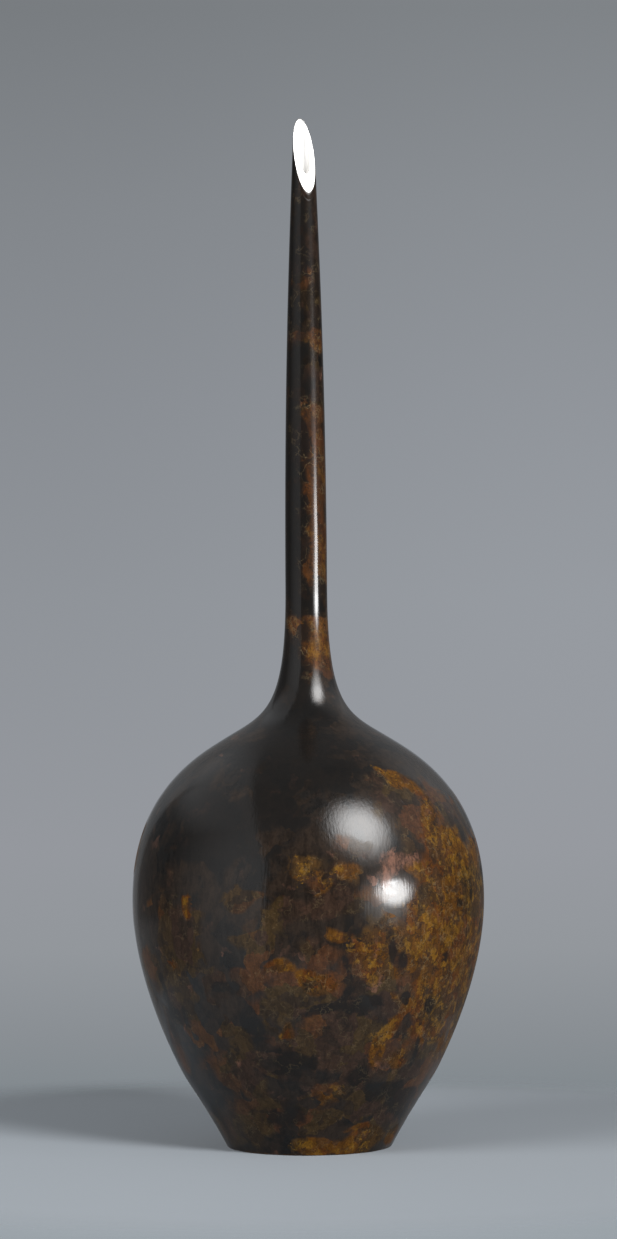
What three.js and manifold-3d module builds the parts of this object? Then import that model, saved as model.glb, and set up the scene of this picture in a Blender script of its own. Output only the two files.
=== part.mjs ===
// A tall bronze bud vase: a round-bellied, hollow body with a long slender neck that ends in a
// slanting, silver-lined mouth. Millimetres, +Z up. The origin is the centre of the foot's resting
// plane, Z is the axis of the vase, and the front, where the mouth opens, looks along -Y.
import * as THREE from 'three';
import { mergeVertices } from 'three/addons/utils/BufferGeometryUtils.js';
import Module from 'manifold-3d';

const wasm = await Module();
wasm.setup();

// The outline, foot to tip. A lean is the wall's angle from the vertical in degrees, positive
// outwards; a reach is how far the curve keeps to that lean before or after the station.
const footRadius = 47.8;
const footLean = 28;
const footReach = 31.5;
const flankHeight = 47.5;
const flankRadius = 75.9;
const flankLean = 26.5;
const flankReachBelow = 14;
const flankReachAbove = 14.5;
const bellyHeight = 144;
const bellyRadius = 102.5;
const bellyReachBelow = 41.5;
const bellyReachAbove = 63;
const shoulderHeight = 238;
const shoulderRadius = 47.5;
const shoulderLean = -58.5;
const shoulderReachBelow = 18.5;
const shoulderReachAbove = 26.5;
const waistHeight = 325;
const waistRadius = 12.2;
const waistReachBelow = 72;
const waistReachAbove = 121.5;
const tipHeight = 600;
const tipRadius = 5.6;
const tipLean = -2.5;
const tipReach = 77;

// Walls of the cast pieces.
const bodyWall = 3;
const neckWall = 1.8;
const tipWall = 0.6;

// The half-lap seam round the belly.
const lapDepth = 6;

// The two neck joints, each a sleeve soldered into counterbores and pinned across.
const rootSeamHeight = 312;
const rootSleeveDepth = 18;
const upperNeckLength = 122;
const neckSeamHeight = tipHeight - upperNeckLength;
const neckSleeveDepth = 15;
const sleeveWall = 1.2;
const throatTaper = 14;
const pinRadius = 1.2;

// The slanting mouth and its silver liner.
const mouthAzimuth = 22.5;
const mouthSlope = 74;
const linerWall = 0.8;
const lipThickness = 0.8;
const spigotDepth = 14;

// The foot: a recess closed by a soldered plate that seats against a ledge.
const footRimWidth = 5.8;
const recessDepth = 3;
const plateThickness = 5;
const ledgeWidth = 5;
const flangeThickness = 3;
const solderWidth = 2;

// The plugs that close the holes the core pins leave in the casting.
const plugRadius = 3.5;
const plugsPerRow = 3;
const lowerPlugHeight = 78;
const upperPlugHeight = 205;
const lowerPlugAzimuth = 100;
const upperPlugAzimuth = 40;

// Clearances: round a turned fit, and round a piece let into a cut wall.
const turnedFit = 0.2;
const cutFit = 0.3;

// Facets round each kind of piece, and steps along the outline.
const bodySides = 48;
const neckSides = 32;
const holeSides = 16;
const flankSteps = 8;
const shoulderSteps = 13;
const neckSteps = 5;

const patinaBronze = new THREE.MeshStandardMaterial({ color: 0x3d3128, roughness: 0.38, metalness: 0.8 });
const bareBronze = new THREE.MeshStandardMaterial({ color: 0x9a7a4e, roughness: 0.45, metalness: 1 });
const silver = new THREE.MeshStandardMaterial({ color: 0xf2f0ec, roughness: 0.15, metalness: 1 });
const solder = new THREE.MeshStandardMaterial({ color: 0x9c9d9f, roughness: 0.5, metalness: 1 });

const vase = new THREE.Group();
const axis = new THREE.Vector3(0, 0, 1);

function station(radius, height) {
  return new THREE.Vector2(radius, height);
}

function along(point, lean, reach) {
  const angle = THREE.MathUtils.degToRad(lean);
  return new THREE.Vector2(point.x + reach * Math.sin(angle), point.y + reach * Math.cos(angle));
}

// One stretch of the outline between two stations, each { at, lean, below, above }.
function stretch(low, high) {
  const start = along(low.at, low.lean, low.above);
  const end = along(high.at, high.lean, -high.below);
  return new THREE.CubicBezierCurve(low.at, start, end, high.at);
}

const stations = [
  { at: station(footRadius, 0), lean: footLean, above: footReach },
  { at: station(flankRadius, flankHeight), lean: flankLean, below: flankReachBelow, above: flankReachAbove },
  { at: station(bellyRadius, bellyHeight), lean: 0, below: bellyReachBelow, above: bellyReachAbove },
  {
    at: station(shoulderRadius, shoulderHeight),
    lean: shoulderLean,
    below: shoulderReachBelow,
    above: shoulderReachAbove,
  },
  { at: station(waistRadius, waistHeight), lean: 0, below: waistReachBelow, above: waistReachAbove },
  { at: station(tipRadius, tipHeight), lean: tipLean, below: tipReach },
];
const curves = stations.slice(1).map((high, index) => stretch(stations[index], high));

// A place on the outline counted in stations from the foot, moved inwards by a wall.
function outlineAt(place, wall = 0) {
  const index = Math.min(Math.floor(place), curves.length - 1);
  const point = curves[index].getPoint(place - index);
  const tangent = curves[index].getTangent(place - index);
  return new THREE.Vector2(point.x - wall * tangent.y, point.y + wall * tangent.x);
}

// The smallest value from 0 to the limit at which a rising function reaches its target.
function solve(rising, target, limit) {
  let low = 0;
  let high = limit;
  for (let halving = 0; halving < 50; halving += 1) {
    const middle = (low + high) / 2;
    if (rising(middle) < target) low = middle;
    else high = middle;
  }
  return high;
}

function placeAt(height, wall = 0) {
  return solve((place) => outlineAt(place, wall).y, height, curves.length);
}

function radiusAt(height) {
  return outlineAt(placeAt(height)).x;
}

// Points on the outline, or on its inside wall, between two heights; either may be the higher.
function wallPoints(fromHeight, toHeight, steps, wall = 0) {
  const from = placeAt(fromHeight, wall);
  const to = placeAt(toHeight, wall);
  const points = [];
  for (let step = 0; step <= steps; step += 1) {
    points.push(outlineAt(THREE.MathUtils.lerp(from, to, step / steps), wall));
  }
  return points;
}

// A closed mesh as a solid, with shared corners merged and flat-collapsed faces left out.
function solidOf(geometry) {
  geometry.deleteAttribute('normal');
  geometry.deleteAttribute('uv');
  const merged = mergeVertices(geometry);
  const corners = [];
  for (let face = 0; face < merged.index.count; face += 3) {
    const [a, b, c] = [0, 1, 2].map((corner) => merged.index.getX(face + corner));
    if (a !== b && b !== c && c !== a) corners.push(a, b, c);
  }
  const vertProperties = new Float32Array(merged.attributes.position.array);
  const triVerts = new Uint32Array(corners);
  return new wasm.Manifold(new wasm.Mesh({ numProp: 3, vertProperties, triVerts }));
}

// Turns a profile of [radius, height] points round the axis. It runs up the outside and down the
// inside, and closes on itself.
function turned(profile, sides) {
  const geometry = new THREE.LatheGeometry([...profile, profile[0]], sides);
  return solidOf(geometry.rotateX(Math.PI / 2));
}

// The full outline without its hollow, between two heights.
function filledOutline(fromHeight, toHeight, sides) {
  const outer = wallPoints(fromHeight, toHeight, neckSteps);
  return turned([station(0, fromHeight), ...outer, station(0, toHeight)], sides);
}

function disc(radius, fromHeight, toHeight, sides) {
  const profile = [
    station(0, fromHeight),
    station(radius, fromHeight),
    station(radius, toHeight),
    station(0, toHeight),
  ];
  return turned(profile, sides);
}

function tube(innerRadius, outerRadius, fromHeight, toHeight, sides) {
  const profile = [
    station(innerRadius, fromHeight),
    station(outerRadius, fromHeight),
    station(outerRadius, toHeight),
    station(innerRadius, toHeight),
  ];
  return turned(profile, sides);
}

// The level direction at an azimuth counted from the front towards +X.
function bearing(azimuth) {
  const angle = THREE.MathUtils.degToRad(azimuth);
  return new THREE.Vector3(Math.sin(angle), -Math.cos(angle), 0);
}

// A round rod centred on a point and running along a direction.
function rod(centre, direction, radius, length) {
  const geometry = new THREE.CylinderGeometry(radius, radius, length, holeSides);
  const turn = new THREE.Quaternion().setFromUnitVectors(new THREE.Vector3(0, 1, 0), direction);
  geometry.applyQuaternion(turn);
  return solidOf(geometry.translate(centre.x, centre.y, centre.z));
}

function add(name, solid, material) {
  const { vertProperties, triVerts } = solid.getMesh();
  const geometry = new THREE.BufferGeometry();
  geometry.setAttribute('position', new THREE.BufferAttribute(new Float32Array(vertProperties), 3));
  geometry.setIndex(new THREE.BufferAttribute(new Uint32Array(triVerts), 1));
  geometry.computeVertexNormals();
  const mesh = new THREE.Mesh(geometry, material);
  mesh.name = name;
  vase.add(mesh);
}

// Everything above the slanting plane of the mouth, lowered squarely by a depth.
const mouthNormal = bearing(mouthAzimuth)
  .multiplyScalar(Math.sin(THREE.MathUtils.degToRad(mouthSlope)))
  .addScaledVector(axis, Math.cos(THREE.MathUtils.degToRad(mouthSlope)));
const mouthLevel = tipHeight * mouthNormal.z - tipRadius * Math.hypot(mouthNormal.x, mouthNormal.y);

function aboveMouth(depth) {
  const size = tipHeight;
  const turn = new THREE.Quaternion().setFromUnitVectors(axis, mouthNormal);
  const centre = axis.clone().multiplyScalar(mouthLevel / mouthNormal.z);
  centre.addScaledVector(mouthNormal, size / 2 - depth);
  const block = new THREE.BoxGeometry(size, size, size).applyQuaternion(turn);
  return solidOf(block.translate(centre.x, centre.y, centre.z));
}

// Where the slanting plane leaves the front of the neck, and the foot of the liner below it.
const mouthFootHeight = solve(
  (height) => radiusAt(height) * Math.hypot(mouthNormal.x, mouthNormal.y) + height * mouthNormal.z,
  mouthLevel,
  tipHeight,
);
const spigotHeight = mouthFootHeight - spigotDepth;

// Bores from the inside out: sleeve bore, sleeve, counterbore, wall.
const rootCounterbore = radiusAt(rootSeamHeight) - neckWall;
const rootBore = rootCounterbore - turnedFit - sleeveWall;
const neckCounterbore = radiusAt(neckSeamHeight) - neckWall;
const neckBore = neckCounterbore - turnedFit - sleeveWall;
const mouthCounterbore = tipRadius - tipWall;
const spigotRadius = mouthCounterbore - turnedFit;
const mouthBore = spigotRadius - linerWall;

const ledgeHeight = recessDepth + plateThickness;
const flangeHeight = ledgeHeight + flangeThickness;
const recessRadius = footRadius - footRimWidth;
const lapRadius = bellyRadius - bodyWall / 2;

function lowerBody() {
  const lapFloor = bellyHeight - lapDepth;
  return turned(
    [
      ...wallPoints(0, bellyHeight, flankSteps),
      station(lapRadius, bellyHeight),
      station(lapRadius, lapFloor),
      ...wallPoints(lapFloor, flangeHeight, flankSteps, bodyWall),
      station(recessRadius - ledgeWidth, flangeHeight),
      station(recessRadius - ledgeWidth, ledgeHeight),
      station(recessRadius, ledgeHeight),
      station(recessRadius, 0),
    ],
    bodySides,
  );
}

function upperBody() {
  const sleeveFoot = rootSeamHeight - rootSleeveDepth;
  const lapFoot = bellyHeight - lapDepth + cutFit;
  return turned(
    [
      ...wallPoints(bellyHeight, rootSeamHeight, shoulderSteps),
      station(rootCounterbore, rootSeamHeight),
      station(rootCounterbore, sleeveFoot),
      station(rootBore, sleeveFoot),
      ...wallPoints(sleeveFoot - throatTaper, bellyHeight, shoulderSteps, bodyWall),
      station(bellyRadius - bodyWall, lapFoot),
      station(lapRadius - turnedFit, lapFoot),
      station(lapRadius - turnedFit, bellyHeight),
    ],
    bodySides,
  );
}

function neckLower() {
  const lowSleeveTop = rootSeamHeight + rootSleeveDepth;
  const highSleeveFoot = neckSeamHeight - neckSleeveDepth;
  return turned(
    [
      ...wallPoints(rootSeamHeight, neckSeamHeight, neckSteps),
      station(neckCounterbore, neckSeamHeight),
      station(neckCounterbore, highSleeveFoot),
      station(neckBore, highSleeveFoot),
      station(rootBore, lowSleeveTop),
      station(rootCounterbore, lowSleeveTop),
      station(rootCounterbore, rootSeamHeight),
    ],
    neckSides,
  );
}

function neckUpper() {
  const sleeveTop = neckSeamHeight + neckSleeveDepth;
  const whole = turned(
    [
      ...wallPoints(neckSeamHeight, tipHeight, neckSteps),
      station(mouthCounterbore, tipHeight),
      station(mouthCounterbore, spigotHeight),
      station(mouthBore, spigotHeight),
      station(neckBore, sleeveTop),
      station(neckCounterbore, sleeveTop),
      station(neckCounterbore, neckSeamHeight),
    ],
    neckSides,
  );
  return whole.subtract(aboveMouth(lipThickness + cutFit));
}

// The liner: a thin lip that covers the cut end of the neck, and a spigot that lines its bore.
function mouthLiner() {
  const lip = filledOutline(spigotHeight, tipHeight, neckSides)
    .intersect(aboveMouth(lipThickness));
  const spigot = disc(spigotRadius, spigotHeight, tipHeight, neckSides);
  const bore = disc(mouthBore, 0, 2 * tipHeight, neckSides);
  return lip.add(spigot).subtract(aboveMouth(0)).subtract(bore);
}

function basePlate() {
  return disc(recessRadius - turnedFit, recessDepth, ledgeHeight, bodySides);
}

// A fillet of solder in the corner between the plate and the rim of the foot.
function baseSolder() {
  const outer = recessRadius - turnedFit;
  const profile = [
    station(outer, recessDepth - solderWidth),
    station(outer, recessDepth),
    station(outer - solderWidth, recessDepth),
  ];
  return turned(profile, bodySides);
}

// A row of plug places round the body, square to the wall at one height.
function plugRow(height, firstAzimuth) {
  const place = placeAt(height);
  const outside = outlineAt(place);
  const inside = outlineAt(place, bodyWall);
  const lean = outside.clone().sub(inside).normalize();
  const places = [];
  for (let index = 0; index < plugsPerRow; index += 1) {
    const level = bearing(firstAzimuth + (index * 360) / plugsPerRow);
    const centre = level.clone().multiplyScalar(inside.x).addScaledVector(axis, inside.y);
    const direction = level.multiplyScalar(lean.x).addScaledVector(axis, lean.y);
    places.push((radius) => rod(centre, direction, radius, 4 * bodyWall));
  }
  return places;
}

// Plugs the holes of one row: the wall loses a hole and the plug keeps the wall's own curve.
function plugged(wall, row, firstNumber) {
  row.forEach((rodOf, index) => {
    add(`core_plug_${firstNumber + index}`, wall.intersect(rodOf(plugRadius)), patinaBronze);
  });
  return row.reduce((left, rodOf) => left.subtract(rodOf(plugRadius + cutFit)), wall);
}

// The cross pins of a neck joint: two below the seam and two above it, a quarter turn apart.
function pinRods(seamHeight, sleeveDepth, bore, radius) {
  const reach = radiusAt(seamHeight - sleeveDepth);
  const rods = [];
  for (const [side, azimuth] of [[-1, 45], [1, 135]]) {
    for (const turn of [0, 180]) {
      const direction = bearing(azimuth + turn);
      const height = seamHeight + (side * sleeveDepth) / 2;
      const centre = direction.clone().multiplyScalar((bore + reach) / 2);
      rods.push(rod(centre.addScaledVector(axis, height), direction, radius, 2 * (reach - bore)));
    }
  }
  return rods;
}

function drilled(solid, seamHeight, sleeveDepth, bore) {
  const rods = pinRods(seamHeight, sleeveDepth, bore, pinRadius + cutFit);
  return rods.reduce((left, one) => left.subtract(one), solid);
}

function addPins(name, seamHeight, sleeveDepth, bore) {
  const outside = filledOutline(seamHeight - sleeveDepth, seamHeight + sleeveDepth, neckSides);
  const hollow = disc(bore, seamHeight - sleeveDepth, seamHeight + sleeveDepth, neckSides);
  const ring = outside.subtract(hollow);
  pinRods(seamHeight, sleeveDepth, bore, pinRadius).forEach((one, index) => {
    add(`${name}_${index + 1}`, one.intersect(ring), patinaBronze);
  });
}

function sleeve(seamHeight, sleeveDepth, bore) {
  const outer = bore + sleeveWall;
  const whole = tube(bore, outer, seamHeight - sleeveDepth, seamHeight + sleeveDepth, neckSides);
  return drilled(whole, seamHeight, sleeveDepth, bore);
}

const atRoot = [rootSeamHeight, rootSleeveDepth, rootBore];
const atNeck = [neckSeamHeight, neckSleeveDepth, neckBore];

const lowerWall = plugged(lowerBody(), plugRow(lowerPlugHeight, lowerPlugAzimuth), 1);
const upperWall = plugged(upperBody(), plugRow(upperPlugHeight, upperPlugAzimuth), 1 + plugsPerRow);
add('lower_body', lowerWall, patinaBronze);
add('upper_body', drilled(upperWall, ...atRoot), patinaBronze);
add('neck_lower', drilled(drilled(neckLower(), ...atRoot), ...atNeck), patinaBronze);
add('neck_upper', drilled(neckUpper(), ...atNeck), patinaBronze);
add('root_sleeve', sleeve(...atRoot), bareBronze);
add('neck_sleeve', sleeve(...atNeck), bareBronze);
addPins('root_pin', ...atRoot);
addPins('neck_pin', ...atNeck);
add('mouth_liner', mouthLiner(), silver);
add('base_plate', basePlate(), bareBronze);
add('base_solder', baseSolder(), solder);

export default vase;
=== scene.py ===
"""The looks of a tall bronze bud vase.

The body and the neck are turned shells in a mottled brown and gold patina under wax. A soldered
plate closes the foot, and the slanting mouth is lined with silver. Everything is in metres, +Z is
up, and the front, where the mouth opens, looks along -Y. An azimuth is counted from the front
towards +X.
"""

import logging
import math
import random
from dataclasses import dataclass
from enum import Enum
from functools import cache
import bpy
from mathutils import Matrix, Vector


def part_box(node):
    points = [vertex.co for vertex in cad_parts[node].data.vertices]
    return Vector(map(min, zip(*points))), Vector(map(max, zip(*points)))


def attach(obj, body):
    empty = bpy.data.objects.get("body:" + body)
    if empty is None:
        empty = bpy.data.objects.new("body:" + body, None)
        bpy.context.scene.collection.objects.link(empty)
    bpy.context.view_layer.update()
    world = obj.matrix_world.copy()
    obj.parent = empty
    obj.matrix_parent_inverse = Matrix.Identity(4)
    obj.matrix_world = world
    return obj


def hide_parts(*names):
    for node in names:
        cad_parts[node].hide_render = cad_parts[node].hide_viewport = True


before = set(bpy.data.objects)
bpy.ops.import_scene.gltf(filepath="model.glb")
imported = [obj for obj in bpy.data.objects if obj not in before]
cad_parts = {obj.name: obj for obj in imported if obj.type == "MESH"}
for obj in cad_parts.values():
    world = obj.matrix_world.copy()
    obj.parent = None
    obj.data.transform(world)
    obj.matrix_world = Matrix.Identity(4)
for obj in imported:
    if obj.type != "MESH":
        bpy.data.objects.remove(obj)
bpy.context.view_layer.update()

from types import SimpleNamespace

import bpy
import numpy as np
from mathutils import Matrix, Vector

MM = 0.001
SHARP = math.radians(38)
ANY_PHASE = 6.3
log = logging.getLogger("vase")
Colour = tuple[float, float, float]
Profile = list[tuple[float, float]]
Span = tuple[float, float]
Spot = tuple[float, float, float]
Plugs = dict[str, object]
Tree = bpy.types.NodeTree
Material = bpy.types.Material
Thing = bpy.types.Object


def screen(red: float, green: float, blue: float) -> Colour:
    """A colour as a screen shows it, from 0 to 255, turned into the values a shader works in."""
    shares = (channel / 255 for channel in (red, green, blue))
    return tuple(s / 12.92 if s <= 0.04045 else ((s + 0.055) / 1.055) ** 2.4 for s in shares)


def opaque(colour: Colour) -> tuple[float, float, float, float]:
    """The same colour with full cover."""
    return (*colour, 1.0)


def bearing(azimuth: float) -> Vector:
    """The level direction at an azimuth in degrees."""
    turn = math.radians(azimuth)
    return Vector((math.sin(turn), -math.cos(turn), 0))


def direction(azimuth: float, elevation: float) -> Vector:
    """The direction at an azimuth and an elevation in degrees."""
    lift = math.radians(elevation)
    return bearing(azimuth) * math.cos(lift) + Vector((0, 0, math.sin(lift)))


@dataclass(frozen=True, eq=False)
class Wire:
    """What comes out of a node. A sum written with wires adds the nodes that work it out."""

    bench: "Bench"
    socket: bpy.types.NodeSocket

    def __add__(self, other: "Wire | float") -> "Wire":
        """This plus another wire or a number."""
        return self.bench.math("ADD", self, other)

    def __sub__(self, other: "Wire | float") -> "Wire":
        """This less another wire or a number."""
        return self.bench.math("SUBTRACT", self, other)

    def __rsub__(self, other: float) -> "Wire":
        """A number less this."""
        return self.bench.math("SUBTRACT", other, self)

    def __mul__(self, other: "Wire | float") -> "Wire":
        """This times another wire or a number."""
        return self.bench.math("MULTIPLY", self, other)

    def __truediv__(self, other: "Wire | float") -> "Wire":
        """This divided by another wire or a number."""
        return self.bench.math("DIVIDE", self, other)


class Bench:
    """Adds the nodes of one tree and joins them."""

    in_a_row = 12
    gap = Vector((200, -220))

    def __init__(self, tree: Tree) -> None:
        """Takes the shader or geometry node tree to work on."""
        self.tree = tree

    def add(self, kind: str, plugs: dict | None = None, **settings: object) -> bpy.types.Node:
        """Adds one node.

        Args:
            kind: the node's type.
            plugs: what goes into its inputs.
            **settings: the node's own settings.

        Returns:
            The new node.
        """
        node = self.tree.nodes.new(kind)
        row, place = divmod(len(self.tree.nodes), self.in_a_row)
        node.location = (self.gap.x * place, self.gap.y * row)
        for name, value in settings.items():
            setattr(node, name, value)
        self.fill(node, plugs or {})
        return node

    def fill(self, node: bpy.types.Node, plugs: dict) -> None:
        """Puts wires or plain values into a node's inputs.

        Args:
            node: the node.
            plugs: what goes in, by the input's number, or by its name where that is in use.
        """
        for name, value in plugs.items():
            by_name = (s for s in node.inputs if s.name == name and s.enabled)
            socket = node.inputs[name] if isinstance(name, int) else next(by_name)
            if isinstance(value, Wire):
                self.tree.links.new(value.socket, socket)
            else:
                socket.default_value = value

    def outs(self, node: bpy.types.Node) -> dict[str, Wire]:
        """A node's outputs that are in use, by name."""
        return {s.name: Wire(self, s) for s in node.outputs if s.enabled and s.name}

    def out(self, kind: str, plugs: dict | None = None, output: str = "", **settings: object) -> Wire:
        """Adds one node and takes the output of that name, or else the first one in use."""
        outputs = self.outs(self.add(kind, plugs, **settings))
        return outputs[output] if output else next(iter(outputs.values()))

    def use(self, group: Tree, **plugs: object) -> SimpleNamespace:
        """Places a shared effect.

        Args:
            group: the effect's node group.
            **plugs: what goes into its inputs, by name.

        Returns:
            Its outputs by name.
        """
        node = self.add("ShaderNodeGroup", node_tree=group)
        self.fill(node, plugs)
        return SimpleNamespace(**self.outs(node))

    def close(self, **results: Wire) -> Tree:
        """Ends a group with its results, and gives the whole group."""
        self.add("NodeGroupOutput", results)
        return self.tree

    def math(self, operation: str, first: object, second: object = 0.0) -> Wire:
        """The result of a sum on one or two numbers."""
        return self.out("ShaderNodeMath", {0: first, 1: second}, operation=operation)

    def vector(self, operation: str, first: object, second: object = (0.0, 0.0, 0.0)) -> Wire:
        """The result of a sum on one or two vectors."""
        return self.out("ShaderNodeVectorMath", {0: first, 1: second}, operation=operation)

    def scaled(self, first: object, share: object) -> Wire:
        """A vector or a colour times a number."""
        return self.out("ShaderNodeVectorMath", {0: first, "Scale": share}, operation="SCALE")

    def split(self, place: Wire) -> dict[str, Wire]:
        """The X, Y and Z of a vector."""
        return self.outs(self.add("ShaderNodeSeparateXYZ", {0: place}))

    def ramp(self, value: object, low: object, high: object, to_low: float = 0.0, to_high: float = 1.0,
             shape: str = "SMOOTHSTEP") -> Wire:
        """A value that goes from to_low to to_high, eased or LINEAR, as another goes from low to high."""
        plugs = {"Value": value, "From Min": low, "From Max": high, "To Min": to_low, "To Max": to_high}
        return self.out("ShaderNodeMapRange", plugs, interpolation_type=shape)

    def mix(self, share: object, first: object, second: object) -> Wire:
        """One colour laid over another, as far as a share from 0 to 1 says."""
        first, second = (opaque(c) if isinstance(c, tuple) else c for c in (first, second))
        return self.out("ShaderNodeMix", {0: share, 6: first, 7: second}, data_type="RGBA")

    def washed(self, colour: object, *washes: tuple) -> object:
        """Washes laid over a colour.

        Args:
            colour: the colour below.
            *washes: what each follows, where it starts and is full, its cover and its tone.

        Returns:
            The washed colour.
        """
        for follows, low, high, cover, tone in washes:
            colour = self.mix(self.ramp(follows, low, high, 0.0, cover), colour, tone)
        return colour

    def noise(self, place: object, scale: object, detail: float = 3.0, roughness: float = 0.55,
              distortion: float = 0.0) -> Wire:
        """Cloudy noise about 0.5.

        Args:
            place: the coordinates.
            scale: clouds in a metre.
            detail: how many finer layers it has.
            roughness: how strong the finer layers are.
            distortion: how much it swirls.

        Returns:
            The noise value.
        """
        plugs = {"Vector": place, "Scale": scale, "Detail": detail, "Roughness": roughness,
                 "Distortion": distortion}
        return self.out("ShaderNodeTexNoise", plugs)

    def shifted(self, place: object, seed: object) -> Wire:
        """The coordinates moved far away by a seed, so that two patterns don't repeat each other."""
        return self.vector("ADD", place, self.scaled((1.7, -2.3, 0.9), seed))

    def bent(self, place: object, scale: object, push: "Wire | float") -> Wire:
        """The coordinates pushed about by noise, so that a net of cells isn't straight.

        Args:
            place: the coordinates.
            scale: pushes in a metre.
            push: how far they go, in metres.

        Returns:
            The pushed coordinates.
        """
        soft = self.out("ShaderNodeTexNoise", {"Vector": place, "Scale": scale, "Detail": 3.0}, "Color")
        off = self.vector("SUBTRACT", soft, (0.5, 0.5, 0.5))
        return self.vector("ADD", place, self.scaled(off, push * 2.0))

    def stretched(self, place: object, across: float, upwards: float) -> Wire:
        """The coordinates scaled apart across and upwards, so that a pattern becomes streaks."""
        return self.out("ShaderNodeMapping", {"Vector": place, "Scale": (across, across, upwards)})

    def cells(self, place: Wire, scale: Wire) -> tuple[dict[str, Wire], Wire]:
        """Random numbers, Red, Green and Blue, for each cell of a net, and the distance to its middle."""
        net = self.outs(self.add("ShaderNodeTexVoronoi", {"Vector": place, "Scale": scale}))
        return self.outs(self.add("ShaderNodeSeparateColor", {0: net["Color"]})), net["Distance"]

    def bump(self, height: Wire, strength: float, depth: float) -> Wire:
        """The normal of a surface with a relief of some strength and depth."""
        return self.out("ShaderNodeBump", {"Strength": strength, "Distance": depth, "Height": height})


def shader_group(name: str, outputs: tuple[str, ...], **inputs: float) -> tuple[Bench, SimpleNamespace]:
    """Starts a shader node group that takes coordinates, named place, and some numbers.

    Args:
        name: the group's name.
        outputs: the names of its outputs, all numbers.
        **inputs: the numbers that it takes, with their usual values.

    Returns:
        A bench on the group, and its inputs by name.
    """
    tree = bpy.data.node_groups.new(name, "ShaderNodeTree")
    tree.interface.new_socket(name="place", in_out="INPUT", socket_type="NodeSocketVector")
    for key, value in inputs.items():
        socket = tree.interface.new_socket(name=key, in_out="INPUT", socket_type="NodeSocketFloat")
        socket.default_value = value
    for key in outputs:
        tree.interface.new_socket(name=key, in_out="OUTPUT", socket_type="NodeSocketFloat")
    bench = Bench(tree)
    return bench, SimpleNamespace(**bench.outs(bench.add("NodeGroupInput")))


class Effects:
    """The surface effects that several finishes share, each a node group built once."""

    def __init__(self) -> None:
        """Builds every group."""
        self.ragged = self.ragged_patch()
        self.dabs = self.dab_cells()
        self.filaments = self.filament_lines()
        self.specks = self.dark_specks()
        self.polish = self.polish_marks()
        self.wear = self.handling_wear()

    @staticmethod
    def ragged_patch() -> Tree:
        """A patch that follows a painted field, broken up into cells and clouds of several sizes.

        Returns:
            The node group.
        """
        bench, given = shader_group("Ragged patch", ("mask",), field=0.0, level=0.5, ragged=0.5, soft=0.1,
                                    scale=100.0, seed=0.0)
        place = bench.shifted(given.place, given.seed)
        bent = bench.bent(place, given.scale * 1.3, 7 * MM)
        bent = bench.bent(bent, given.scale * 8.0, 0.5 * MM)
        tones, _ = bench.cells(bent, given.scale)
        broad = bench.noise(place, given.scale * 0.6, detail=5.0, roughness=0.52, distortion=0.4)
        by_cell, by_cloud = 0.52, 1.20
        swing = tones["Red"] * by_cell + broad * by_cloud - (by_cell + by_cloud) / 2
        height = given.field + swing * given.ragged
        return bench.close(mask=bench.ramp(height, given.level - given.soft, given.level + given.soft))

    @staticmethod
    def dab_cells() -> Tree:
        """Random values that stay level over each ragged dab, as where dabs of a brush overlap.

        Returns:
            The node group.
        """
        bench, given = shader_group("Dab cells", ("first", "second", "third"), scale=90.0, push=6 * MM,
                                    seed=0.0)
        place = bench.shifted(given.place, given.seed)
        bent = bench.bent(place, given.scale * 1.3, given.push)
        bent = bench.bent(bent, given.scale * 7.0, given.push * 0.08)
        tones, _ = bench.cells(bent, given.scale)
        return bench.close(first=tones["Red"], second=tones["Green"], third=tones["Blue"])

    @staticmethod
    def filament_lines() -> Tree:
        """Thin wandering lines round cells, which come and go, as where a wash of patina dries.

        Returns:
            The node group.
        """
        bench, given = shader_group("Filament lines", ("mask",), scale=60.0, width=0.02, seed=0.0)
        place = bench.shifted(given.place, given.seed)
        bent = bench.bent(place, given.scale * 1.6, 12 * MM)
        edge = bench.out("ShaderNodeTexVoronoi", {"Vector": bent, "Scale": given.scale}, "Distance",
                         feature="DISTANCE_TO_EDGE")
        line = 1.0 - bench.ramp(edge, 0.0, given.width)
        return bench.close(mask=line * bench.ramp(bench.noise(place, given.scale * 1.4), 0.44, 0.62))

    @staticmethod
    def dark_specks() -> Tree:
        """Small round specks, scattered in some of the cells of a fine net.

        Returns:
            The node group.
        """
        bench, given = shader_group("Dark specks", ("mask",), scale=450.0, size=0.3, share=0.4, seed=0.0)
        tones, distance = bench.cells(bench.shifted(given.place, given.seed), given.scale)
        spot = 1.0 - bench.ramp(distance, 0.05, given.size)
        return bench.close(mask=spot * bench.math("LESS_THAN", tones["Red"], given.share))

    @staticmethod
    def polish_marks() -> Tree:
        """Fine marks left by brushing and buffing, mostly up and down, and a slow unevenness.

        Returns:
            The node group.
        """
        bench, given = shader_group("Polish marks", ("height", "gloss"), scale=900.0, upright=1.0)
        upright = bench.noise(bench.stretched(given.place, 1.0, 0.03), given.scale, detail=2.0)
        slanting = bench.noise(bench.stretched(given.place, 0.5, 0.12), given.scale, detail=2.0)
        slow = bench.noise(given.place, given.scale * 0.05)
        return bench.close(height=upright * given.upright + slanting * 0.4, gloss=slow)

    @staticmethod
    def handling_wear() -> Tree:
        """Bare metal where an edge has been rubbed, broken up by fine clouds.

        Returns:
            The node group.
        """
        bench, given = shader_group("Handling wear", ("mask",), edge=0.0, amount=0.5)
        clouds = bench.noise(given.place, 380.0, detail=4.0, roughness=0.6)
        return bench.close(mask=bench.ramp(given.edge + (clouds - 0.5) * 1.1, 0.55, 0.95) * given.amount)


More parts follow.
